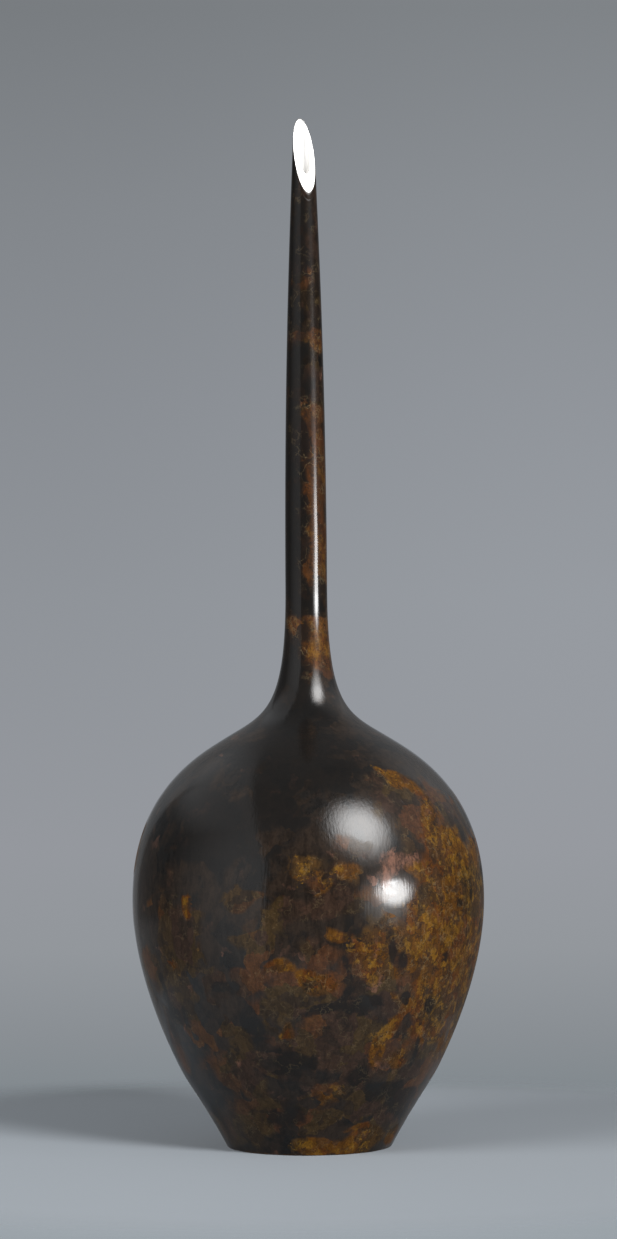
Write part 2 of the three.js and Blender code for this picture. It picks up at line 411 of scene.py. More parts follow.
class Finish:
    """Common ground of the finishes: a new material with one plain shader."""

    name: str

    def surface(self, bench: Bench, place: Wire) -> Plugs:
        """A wire or a plain value for each of the shader's inputs that the finish sets."""
        raise NotImplementedError

    def make(self) -> Material:
        """Builds the material.

        Returns:
            The material.
        """
        material = bpy.data.materials.new(self.name)
        material.use_nodes = True
        bench = Bench(material.node_tree)
        shader = next(n for n in bench.tree.nodes if n.type == "BSDF_PRINCIPLED")
        bench.fill(shader, self.surface(bench, bench.out("ShaderNodeTexCoord", output="Object")))
        return material


@dataclass(frozen=True)
class Layer:
    """How one layer of colour breaks up where its painted field is strong.

    level and soft say where it starts and how softly, ragged how far its edge strays, and scale how
    many cells it has in a metre.
    """

    field: str
    level: float
    ragged: float
    soft: float
    scale: float
    seed: float


@dataclass(frozen=True)
class Patina(Finish):
    """Layered brown and gold patina on bronze, waxed and buffed."""

    effects: Effects
    name: str = "Patinated bronze"
    soot: Colour = (0.0080, 0.0073, 0.0068)
    umber: Colour = (0.0205, 0.0135, 0.0092)
    mauve: Colour = (0.0370, 0.0205, 0.0135)
    olive: Colour = (0.0440, 0.0265, 0.0105)
    clay: Colour = (0.0860, 0.0320, 0.0110)
    rust: Colour = (0.0900, 0.0290, 0.0060)
    ochre: Colour = (0.0840, 0.0330, 0.0045)
    gold: Colour = (0.1080, 0.0440, 0.0062)
    yellow: Colour = (0.2600, 0.1300, 0.0110)
    pale: Colour = (0.2600, 0.1900, 0.0950)
    # The rose colour is a copper-red tint painted lighter and pinker, standing in for the haze of the small
    # lamp's highlight that lies over it.
    rose: Colour = (0.2700, 0.1250, 0.0800)
    raw: Colour = (0.060, 0.042, 0.026)
    rust_layer: Layer = Layer("rust", 0.42, 0.88, 0.10, 58.0, 1.0)
    gold_layer: Layer = Layer("gold", 0.48, 0.80, 0.13, 66.0, 2.0)
    bright_layer: Layer = Layer("gold", 0.92, 1.50, 0.16, 190.0, 3.0)
    soot_layer: Layer = Layer("soot", 0.46, 0.90, 0.12, 80.0, 4.0)
    rose_and_halo_layer: Layer = Layer("rose", 0.50, 1.10, 0.22, 140.0, 5.0)
    stroke_share: float = 0.72
    rust_cover: float = 0.92
    rose_and_halo_cover: float = 0.75
    soot_cover: float = 0.85
    speck_cover: float = 0.85
    throat_clay: float = 0.70
    throat_dimming: float = 0.65
    least_shade: float = 0.60
    shade_swing: float = 0.72
    least_fleck: float = 0.15
    fleck_swing: float = 0.5
    lines_on_lit: float = 0.45
    sheen: float = 0.07
    metal: float = 0.10
    roughness: float = 0.25
    gloss_swing: float = 0.14
    gold_roughness: float = 0.18
    relief: float = 0.10
    relief_depth: float = 0.35 * MM
    gold_matt: float = 0.80
    rust_matt: float = 0.45
    matt_fades: Span = (0.22, 0.30)
    matt_high_up: float = 0.3
    neck_from: float = 0.27
    neck_to: float = 0.36
    throat_from: float = 0.25
    throat_to: float = 0.31
    neck_wax: float = 0.60
    neck_shade: float = 0.68
    foot_from: float = 0.0
    foot_to: float = 0.14
    foot_wax: float = 0.28
    wax_roughness: float = 0.055
    wax_index: float = 1.47
    brushing: float = 700.0
    brush_marks: float = 0.13
    brush_depth: float = 0.5 * MM

    def surface(self, bench: Bench, place: Wire) -> Plugs:
        """The patina's layers, from the dark ground up to specks and wear, under the wax.

        Args:
            bench: the bench on the material's nodes.
            place: the object coordinates.

        Returns:
            What goes into the shader's inputs.
        """
        height = bench.split(place)["Z"]
        upward = bench.ramp(height, self.throat_from, self.throat_to)
        rust, gold, bright, soot, rose = (
            self.mask(bench, place, layer) for layer in
            (self.rust_layer, self.gold_layer, self.bright_layer, self.soot_layer, self.rose_and_halo_layer))
        clouds = bench.ramp(bench.noise(place, 48.0, 6.0, 0.62, 0.8), 0.38, 0.62)
        fine = self.brushwork(bench, place)
        ground, rusty, golden = self.tones(bench, place, clouds)
        golden = bench.mix(upward * self.throat_clay, golden, self.clay)
        colour = bench.mix(gold, bench.mix(rust * self.rust_cover, ground, rusty), golden)
        shade = fine * self.shade_swing + self.least_shade
        shade = shade * bench.ramp(height, self.neck_from, self.neck_to, 1.0, self.neck_shade)
        colour = bench.scaled(colour, shade)
        flecks = bright * (fine * self.fleck_swing + self.least_fleck) * (1.0 - upward * self.throat_dimming)
        colour = bench.mix(flecks, colour, self.yellow)
        # Rose patches carry a painted highlight haze as well as their copper-red tint.
        colour = bench.mix(rose * self.rose_and_halo_cover, colour, bench.mix(fine, self.mauve, self.rose))
        colour = bench.mix(soot * self.soot_cover, colour, self.soot)
        lit = gold * self.lines_on_lit + rust * self.lines_on_lit
        colour = self.marked(bench, place, colour, lit)
        worn = bench.use(self.effects.wear, place=place, edge=self.field(bench, "edge"), amount=0.6).mask
        colour = bench.mix(worn, colour, self.gold)
        bare = bench.mix(clouds, self.umber, self.raw)
        colour = bench.mix(self.field(bench, "inside"), colour, bare)

        polish = bench.use(self.effects.polish, place=place, scale=self.brushing, upright=1.0)
        relief = polish.height * 0.5 + (fine + gold) * 0.35
        brushed = bench.noise(bench.stretched(place, 1.0, 0.03), self.brushing)
        return {
            "Base Color": colour,
            "Roughness": polish.gloss * self.gloss_swing + self.roughness + gold * self.gold_roughness,
            "Metallic": (gold + worn) * self.metal,
            "Specular IOR Level": self.sheen,
            "Normal": bench.bump(relief, self.relief, self.relief_depth),
            "Coat Weight": self.wax(bench, height, gold, rust),
            "Coat Roughness": self.wax_roughness,
            "Coat IOR": self.wax_index,
            "Coat Normal": bench.bump(brushed, self.brush_marks, self.brush_depth),
        }

    def brushwork(self, bench: Bench, place: Wire) -> Wire:
        """The fine strokes and grains that every layer has.

        Args:
            bench: the bench on the material's nodes.
            place: the object coordinates.

        Returns:
            How light each stroke is, from 0 to 1.
        """
        swept = bench.stretched(bench.shifted(place, 6.0), 1.0, 0.35)
        strokes = bench.ramp(bench.noise(swept, 260.0, 6.0, 0.72, 0.5), 0.38, 0.62)
        grains = bench.ramp(bench.noise(bench.shifted(place, 21.0), 620.0, 3.0, 0.7), 0.36, 0.64)
        return strokes * self.stroke_share + grains * (1 - self.stroke_share)

    def tones(self, bench: Bench, place: Wire, clouds: Wire) -> tuple[Wire, Wire, Wire]:
        """The colours that the layers are laid in, each washed dab by dab with others.

        Args:
            bench: the bench on the material's nodes.
            place: the object coordinates.
            clouds: the broad clouds of the ground.

        Returns:
            The dark ground, the rusty colour and the golden one.
        """
        big = bench.use(self.effects.dabs, place=place, scale=52.0, push=9 * MM, seed=2.0)
        small = bench.use(self.effects.dabs, place=place, scale=120.0, push=5 * MM, seed=5.0)
        ground = bench.mix(clouds, self.soot, self.umber)
        ground = bench.washed(ground, (big.third, 0.3, 0.7, 0.6, self.umber))
        rusty = bench.washed(self.mauve, (big.first, 0.35, 0.65, 1.0, self.olive),
                             (small.first, 0.5, 0.7, 0.8, self.umber),
                             (big.second, 0.72, 0.85, 0.6, self.clay))
        golden = bench.washed(self.ochre, (big.third, 0.35, 0.65, 1.0, self.gold),
                              (small.second, 0.48, 0.70, 0.62, self.mauve),
                              (small.third, 0.72, 0.88, 0.8, self.rust),
                              (big.first, 0.70, 0.82, 0.7, self.olive))
        return ground, rusty, golden

    def marked(self, bench: Bench, place: Wire, colour: Wire, lit: Wire) -> Wire:
        """Lays the lines where a wash has dried, and the dark specks, over a colour.

        Args:
            bench: the bench on the material's nodes.
            place: the object coordinates.
            colour: the colour below.
            lit: how strong the marks are.

        Returns:
            The marked colour.
        """
        for tone, share, scale, width, seed in (
                (self.soot, 0.75, 115.0, 0.12, 8.0), (self.umber, 0.6, 240.0, 0.16, 13.0),
                (self.pale, 0.34, 95.0, 0.06, 7.0)):
            line = bench.use(self.effects.filaments, place=place, scale=scale, width=width, seed=seed).mask
            colour = bench.mix(line * lit * share, colour, tone)
        specks = bench.use(self.effects.specks, place=place, scale=600.0, size=0.45, share=0.35, seed=9.0)
        return bench.mix(specks.mask * lit * self.speck_cover, colour, self.soot)

    def wax(self, bench: Bench, height: Wire, gold: Wire, rust: Wire) -> Wire:
        """How much wax there is: less over gold and rust, on the neck and at the foot.

        Args:
            bench: the bench on the material's nodes.
            height: how high up the vase.
            gold: the cover of the golden layer.
            rust: the cover of the rusty one.

        Returns:
            The wax's weight, from 0 to 1.
        """
        matt = bench.math("MAXIMUM", gold * self.gold_matt, rust * self.rust_matt)
        matt = matt * bench.ramp(height, *self.matt_fades, 1.0, self.matt_high_up)
        buffed = (bench.ramp(height, self.neck_from, self.neck_to, 1.0, self.neck_wax)
                  * bench.ramp(height, self.foot_from, self.foot_to, self.foot_wax, 1.0))
        return (1.0 - matt) * buffed

    def mask(self, bench: Bench, place: Wire, layer: Layer) -> Wire:
        """Where one layer of colour lies.

        Args:
            bench: the bench on the material's nodes.
            place: the object coordinates.
            layer: the layer.

        Returns:
            The layer's cover, from 0 to 1.
        """
        return bench.use(self.effects.ragged, place=place, field=self.field(bench, layer.field),
                         level=layer.level, ragged=layer.ragged, soft=layer.soft, scale=layer.scale,
                         seed=layer.seed).mask

    def field(self, bench: Bench, name: str) -> Wire:
        """A painted field of the piece."""
        return bench.out("ShaderNodeAttribute", output="Fac", attribute_name=name)


@dataclass(frozen=True)
class BareBronze(Finish):
    """Turned bronze that was never coloured, gone dull."""

    name: str = "Bare bronze"
    clean: Colour = (0.42, 0.25, 0.11)
    dull: Colour = (0.16, 0.09, 0.045)

    def surface(self, bench: Bench, place: Wire) -> Plugs:
        """Tarnish in clouds over fine level rings.

        Args:
            bench: the bench on the material's nodes.
            place: the object coordinates.

        Returns:
            What goes into the shader's inputs.
        """
        tarnish = bench.ramp(bench.noise(place, 140.0, 5.0, 0.6), 0.35, 0.65)
        rings = bench.noise(bench.stretched(place, 0.05, 1.0), 2600.0, 2.0)
        return {"Base Color": bench.mix(tarnish, self.clean, self.dull), "Metallic": 1.0,
                "Roughness": tarnish * 0.25 + 0.3, "Normal": bench.bump(rings, 0.25, 0.1 * MM)}


@dataclass(frozen=True)
class Silver(Finish):
    """Silver, mirror bright on the lip and frosted in the bore."""

    effects: Effects
    name: str = "Silver"
    bright: Colour = (0.96, 0.95, 0.93)
    cloudy: Colour = (0.93, 0.92, 0.91)

    def surface(self, bench: Bench, place: Wire) -> Plugs:
        """Polish that gives way to frosting where the piece is painted frosted.

        Args:
            bench: the bench on the material's nodes.
            place: the object coordinates.

        Returns:
            What goes into the shader's inputs.
        """
        frosted = bench.out("ShaderNodeAttribute", output="Fac", attribute_name="frosted")
        haze = bench.ramp(bench.noise(place, 700.0, 4.0), 0.4, 0.7)
        polish = bench.use(self.effects.polish, place=place, scale=2600.0, upright=0.6)
        return {"Base Color": bench.mix(haze, self.bright, self.cloudy),
                "Roughness": bench.ramp(frosted, 0.0, 1.0, 0.12, 0.50),
                "Metallic": bench.ramp(frosted, 0.0, 1.0, 1.0, 0.45),
                "Normal": bench.bump(polish.height, 0.05, 0.1 * MM)}


@dataclass(frozen=True)
class Solder(Finish):
    """Soft solder, grey, with a cooled and slightly pitted skin."""

    name: str = "Solder"
    grey: Colour = (0.32, 0.33, 0.34)
    dark: Colour = (0.12, 0.12, 0.125)

    def surface(self, bench: Bench, place: Wire) -> Plugs:
        """A pitted skin, darker in its pits.

        Args:
            bench: the bench on the material's nodes.
            place: the object coordinates.

        Returns:
            What goes into the shader's inputs.
        """
        skin = bench.noise(place, 900.0, 4.0)
        return {"Base Color": bench.mix(bench.ramp(skin, 0.35, 0.6), self.dark, self.grey), "Metallic": 0.9,
                "Roughness": skin * 0.3 + 0.35, "Normal": bench.bump(skin, 0.4, 0.3 * MM)}


@dataclass(frozen=True)
class TurnedPlate(Finish):
    """Bronze faced on a lathe: fine rings about the axis under a thin brown stain."""

    name: str = "Turned bronze plate"
    stain: Colour = (0.045, 0.029, 0.016)
    metal: Colour = (0.17, 0.10, 0.05)

    def surface(self, bench: Bench, place: Wire) -> Plugs:
        """Rings by the distance from the axis, and blotches of stain.

        Args:
            bench: the bench on the material's nodes.
            place: the object coordinates.

        Returns:
            What goes into the shader's inputs.
        """
        flat = bench.out("ShaderNodeMapping", {"Vector": place, "Scale": (1.0, 1.0, 0.0)})
        cut = bench.out("ShaderNodeCombineXYZ", {0: bench.vector("LENGTH", flat)})
        rings = bench.noise(cut, 2200.0)
        blotch = bench.ramp(bench.noise(place, 60.0, 5.0, 0.6), 0.38, 0.62)
        turned = bench.mix(rings, self.stain, self.metal)
        return {"Base Color": bench.mix(blotch, self.stain, turned), "Roughness": blotch * 0.2 + 0.32,
                "Metallic": bench.ramp(blotch, 0.0, 1.0, 0.5, 0.9),
                "Normal": bench.bump(rings, 0.5, 0.15 * MM)}


@dataclass(frozen=True)
class Paper(Finish):
    """The pale paper the vase stands on. It fades out towards its edge."""

    name: str = "Pale paper"
    near: Colour = screen(170, 177, 184)
    far: Colour = screen(150, 157, 162)
    fibre: Colour = (0.5, 0.5, 0.5)
    # The dimming to the back, the front and the right is painted shade where the light falls off.
    dims_from: float = 0.22
    dims_to: float = 0.40
    fades_from: float = 0.29
    fades_to: float = 0.40
    front_from: float = 0.06
    front_to: float = 0.38
    front_painted_shade: float = 0.17
    right_from: float = -0.10
    right_to: float = 0.25
    right_painted_shade: float = 0.08

    def surface(self, bench: Bench, place: Wire) -> Plugs:
        """Paper that dims to the back, the front and the right: painted shade for the light falling off
        across the floor.

        Args:
            bench: the bench on the material's nodes.
            place: the object coordinates.

        Returns:
            What goes into the shader's inputs.
        """
        parts = bench.split(place)
        colour = bench.mix(bench.ramp(parts["Y"], self.dims_from, self.dims_to), self.near, self.far)
        front = bench.ramp(parts["Y"] * -1.0, self.front_from, self.front_to, 0.0, self.front_painted_shade,
                           "LINEAR")
        right = bench.ramp(parts["X"], self.right_from, self.right_to, 0.0, self.right_painted_shade)
        colour = bench.scaled(colour, 1.0 - (front + right))
        radius = bench.vector("LENGTH", place)
        return {"Base Color": bench.mix(bench.noise(place, 300.0, 4.0) * 0.05, colour, self.fibre),
                "Alpha": bench.ramp(radius, self.fades_from, self.fades_to, 1.0, 0.0),
                "Roughness": 0.85, "Specular IOR Level": 0.2}


@dataclass(frozen=True)
class Finishes:
    """Every material of the vase."""

    patina: Material
    bare_bronze: Material
    silver: Material
    solder: Material
    plate: Material

    @classmethod
    def build(cls) -> "Finishes":
        """Builds the shared effects and all the materials.

        Returns:
            The materials.
        """
        effects = Effects()
        made = (Patina(effects), BareBronze(), Silver(effects), Solder(), TurnedPlate())
        return cls(*(finish.make() for finish in made))


@dataclass(frozen=True)
class Station:
    """A place where the outline is held.

    radius and height are where it is, lean is the wall's angle from upright in degrees, positive
    outwards, and below and above are how far the curve keeps to that lean on each side.
    """

    radius: float
    height: float
    lean: float
    below: float
    above: float

    def handle(self, reach: float) -> np.ndarray:
        """The curve's handle at a distance above the station, or below it where it is negative."""
        turn = math.radians(self.lean)
        return np.array([self.radius + reach * math.sin(turn), self.height + reach * math.cos(turn)])


@dataclass(frozen=True)
class Outline:
    """The vase's outside, foot to tip, as smooth curves between stations."""

    stations: tuple[Station, ...] = (
        Station(47.8 * MM, 0, 28, 0, 31.5 * MM),
        Station(75.9 * MM, 47.5 * MM, 26.5, 14 * MM, 14.5 * MM),
        Station(102.5 * MM, 144 * MM, 0, 41.5 * MM, 63 * MM),
        Station(47.5 * MM, 238 * MM, -58.5, 18.5 * MM, 26.5 * MM),
        Station(12.2 * MM, 325 * MM, 0, 72 * MM, 121.5 * MM),
        Station(5.6 * MM, 600 * MM, -2.5, 77 * MM, 0),
    )
    fineness: int = 500
    near: float = 0.2 * MM

    @cache
    def dense(self, wall: float = 0.0) -> np.ndarray:
        """Many points on the outline, or on a wall inside it.

        Args:
            wall: how far inside, square to the outline.

        Returns:
            Points as radius and height, from foot to tip.
        """
        share = np.linspace(0, 1, self.fineness)[:, None]
        rest = 1 - share
        parts = []
        for low, high in zip(self.stations, self.stations[1:]):
            a, b = low.handle(0), low.handle(low.above)
            c, d = high.handle(-high.below), high.handle(0)
            points = rest ** 3 * a + 3 * rest ** 2 * share * b + 3 * rest * share ** 2 * c + share ** 3 * d
            slopes = rest ** 2 * (b - a) + 2 * rest * share * (c - b) + share ** 2 * (d - c)
            slopes /= np.linalg.norm(slopes, axis=1)[:, None]
            parts.append(points + wall * np.stack([-slopes[:, 1], slopes[:, 0]], axis=1))
        return np.concatenate([parts[0], *(part[1:] for part in parts[1:])])

    def radius_at(self, heights: np.ndarray | float) -> np.ndarray | float:
        """The radius at one or more heights."""
        points = self.dense()
        return np.interp(heights, points[:, 1], points[:, 0])

    def lean_at(self, height: float) -> float:
        """The wall's angle from upright at a height, in radians, positive outwards."""
        rise = self.radius_at(height + self.near) - self.radius_at(height - self.near)
        return math.atan2(rise, 2 * self.near)

    def run(self, start: float, end: float, step: float, wall: float = 0.0, brink: float = 0.0) -> Profile:
        """Evenly spaced points along the wall between two heights; either may be the higher.

        Args:
            start: the height of the first point.
            end: the height of the last point.
            step: about how far apart they are.
            wall: how far inside the outline.
            brink: how close to each end one more point goes, so that the shading meets the next piece's.

        Returns:
            Points as (radius, height).
        """
        low, high = min(start, end), max(start, end)
        points = self.dense(wall)
        heights = np.concatenate([[low], points[(points[:, 1] > low) & (points[:, 1] < high), 1], [high]])
        radii = np.interp(heights, points[:, 1], points[:, 0])
        length = np.concatenate([[0], np.cumsum(np.hypot(np.diff(radii), np.diff(heights)))])
        marks = np.linspace(0, length[-1], max(2, round(length[-1] / step) + 1))
        if brink:
            marks = np.sort(np.concatenate([marks, [brink, length[-1] - brink]]))
        made = list(zip(np.interp(marks, length, radii), np.interp(marks, length, heights)))
        return made if start <= end else made[::-1]


@dataclass(frozen=True)
class Slant:
    """The plane that cuts the mouth."""

    outline: Outline
    azimuth: float = 22.5
    slope: float = 74.0
    halvings: int = 40

    def height_at(self, around: float, radius: float, depth: float = 0.0) -> float:
        """Where the plane crosses an upright line.

        Args:
            around: the line's azimuth.
            radius: how far the line is from the axis.
            depth: how far the plane is lowered, square to itself.

        Returns:
            The height.
        """
        normal = direction(self.azimuth, 90 - self.slope)
        top = self.outline.stations[-1]
        level = top.height * normal.z - top.radius * math.hypot(normal.x, normal.y) - depth
        return (level - (bearing(around) * radius).dot(normal)) / normal.z

    def meets_wall(self, around: float, depth: float = 0.0) -> float:
        """Where the plane meets the outside wall.

        Args:
            around: the azimuth.
            depth: how far the plane is lowered.

        Returns:
            The height.
        """
        high = self.outline.stations[-1].height
        low = high - self.outline.stations[-1].below
        for _ in range(self.halvings):
            middle = (low + high) / 2
            if middle < self.height_at(around, float(self.outline.radius_at(middle)), depth):
                low = middle
            else:
                high = middle
        return low


class Tint(Enum):
    """The layers of colour that a daub of patina can add to."""

    GOLD = "gold"
    RUST = "rust"
    SOOT = "soot"
    # Rose daubs carry a painted highlight haze as well as a copper-red tint.
    ROSE_AND_HALO = "rose"


@dataclass(frozen=True)
class Daub:
    """One daub of patina: where it sits on the wall, half its width and height, and how it lies."""

    tint: Tint
    azimuth: float
    height: float
    across: float
    upwards: float
    strength: float = 1.0
    turn: float = 0.0


def daubs(tint: Tint, *rows: tuple[float, ...]) -> tuple[Daub, ...]:
    """Daubs of one tint from rows of azimuth, height, half width, half height, strength and turn."""
    return tuple(Daub(tint, row[0], *(value * MM for value in row[1:4]), *row[4:]) for row in rows)


@dataclass(frozen=True)
class Dauber:
    """Lays the daubs on a piece as painted fields, one for each tint."""

    outline: Outline
    placed: tuple[Daub, ...]
    scattered: int = 150
    scatter_edge: float = 84.0
    scatter_top: float = 205 * MM
    scatter_bias: float = 0.8
    scatter_size: Span = (5, 17)
    scatter_shares: tuple[float, ...] = (8, 8, 6, 0.6)
    neck_heights: Span = (270, 590)
    neck_across: Span = (4, 9)
    neck_upwards: Span = (5, 13)
    neck_shares: tuple[float, ...] = (4, 2, 4)
    steepest: float = 50
    seed: int = 11
    wavelengths: tuple[float, ...] = (46, 31, 22, 15, 11)
    waver: float = 2.2 * MM
    strength: float = 0.82
    fall: float = 1.05
    fall_power: float = 1.35
    most_cover: float = 0.999
    skin: float = 0.25 * MM
    worn_edge: float = 1.6 * MM
    least_radius: float = 5 * MM

    @cache
    def everywhere(self) -> tuple[Daub, ...]:
        """Works out every daub on the vase.

        Returns:
            The placed daubs, and random ones over the rest of the body and neck.
        """
        chance = random.Random(self.seed)
        made = list(self.placed)
        for _ in range(self.scattered):
            azimuth = chance.uniform(self.scatter_edge, 360 - self.scatter_edge)
            height = self.scatter_top * chance.random() ** self.scatter_bias
            tint = chance.choices((Tint.GOLD, Tint.RUST, Tint.SOOT, Tint.ROSE_AND_HALO), self.scatter_shares)[0]
            size = chance.uniform(*self.scatter_size) * MM
            made.append(Daub(tint, azimuth, height, size * chance.uniform(0.8, 1.7), size,
                             chance.uniform(0.7, 1.1), chance.uniform(-self.steepest, self.steepest)))
        for _ in range(self.scattered // 8):
            azimuth = chance.uniform(self.scatter_edge, 360 - self.scatter_edge)
            height = chance.uniform(*self.neck_heights) * MM
            tint = chance.choices((Tint.RUST, Tint.GOLD, Tint.SOOT), self.neck_shares)[0]
            made.append(Daub(tint, azimuth, height, chance.uniform(*self.neck_across) * MM,
                             chance.uniform(*self.neck_upwards) * MM, chance.uniform(0.7, 1.0)))
        return tuple(made)

    def wavering(self, points: np.ndarray, number: int) -> np.ndarray:
        """A slow random push on every point, so that no daub is a plain oval.

        Args:
            points: places on the piece.
            number: which of the pushes it is.

        Returns:
            The push on each point, in metres.
        """
        chance = np.random.default_rng(self.seed + number)
        push = np.zeros(len(points))
        for wavelength in self.wavelengths:
            way = chance.normal(size=3)
            way *= 2 * math.pi / (wavelength * MM) / np.linalg.norm(way)
            push += np.sin(points @ way + chance.uniform(0, ANY_PHASE)) * wavelength / self.wavelengths[0]
        return push * self.waver

    def paint(self, piece: Thing) -> None:
        """Writes the fields, and what lies inside or at the foot's edge, to a piece at the origin.

        Args:
            piece: a piece whose object is at the origin.
        """
        mesh = piece.data
        points = np.empty(len(mesh.vertices) * 3, np.float32)
        mesh.vertices.foreach_get("co", points)
        points = points.reshape(-1, 3).astype(float)
        radius = np.hypot(points[:, 0], points[:, 1])
        azimuth = np.degrees(np.arctan2(points[:, 0], -points[:, 1]))
        across_push, up_push = self.wavering(points, 1), self.wavering(points, 2)
        fields = {tint: np.ones(len(points)) for tint in Tint}
        for daub in self.everywhere():
            off = (azimuth - daub.azimuth + 180) % 360 - 180
            level = np.radians(off) * np.maximum(radius, self.least_radius) + across_push
            rise = points[:, 2] - daub.height + up_push
            turn = math.radians(daub.turn)
            along = level * math.cos(turn) + rise * math.sin(turn)
            upright = rise * math.cos(turn) - level * math.sin(turn)
            spread = (along / daub.across) ** 2 + (upright / daub.upwards) ** 2
            cover = daub.strength * np.exp(-self.fall * spread ** self.fall_power)
            fields[daub.tint] *= 1 - np.clip(cover, 0, self.most_cover)
        for tint, left in fields.items():
            self.write(mesh, tint.value, self.strength * (1 - left))
        inside = self.outline.radius_at(points[:, 2]) - radius > self.skin
        self.write(mesh, "inside", inside.astype(float))
        self.write(mesh, "edge", np.exp(-points[:, 2] / self.worn_edge))

    @staticmethod
    def write(mesh: bpy.types.Mesh, name: str, values: np.ndarray) -> None:
        """Stores one number for each point of a mesh."""
        layer = mesh.attributes.new(name, "FLOAT", "POINT")
        layer.data.foreach_set("value", values.astype(np.float32))

    def dress(self, piece: Thing, *nodes: str) -> Thing:
        """Paints a piece of patinated bronze and fits it in place of its CAD nodes."""
        self.paint(piece)
        return fit(piece, "patinated_bronze", *nodes)


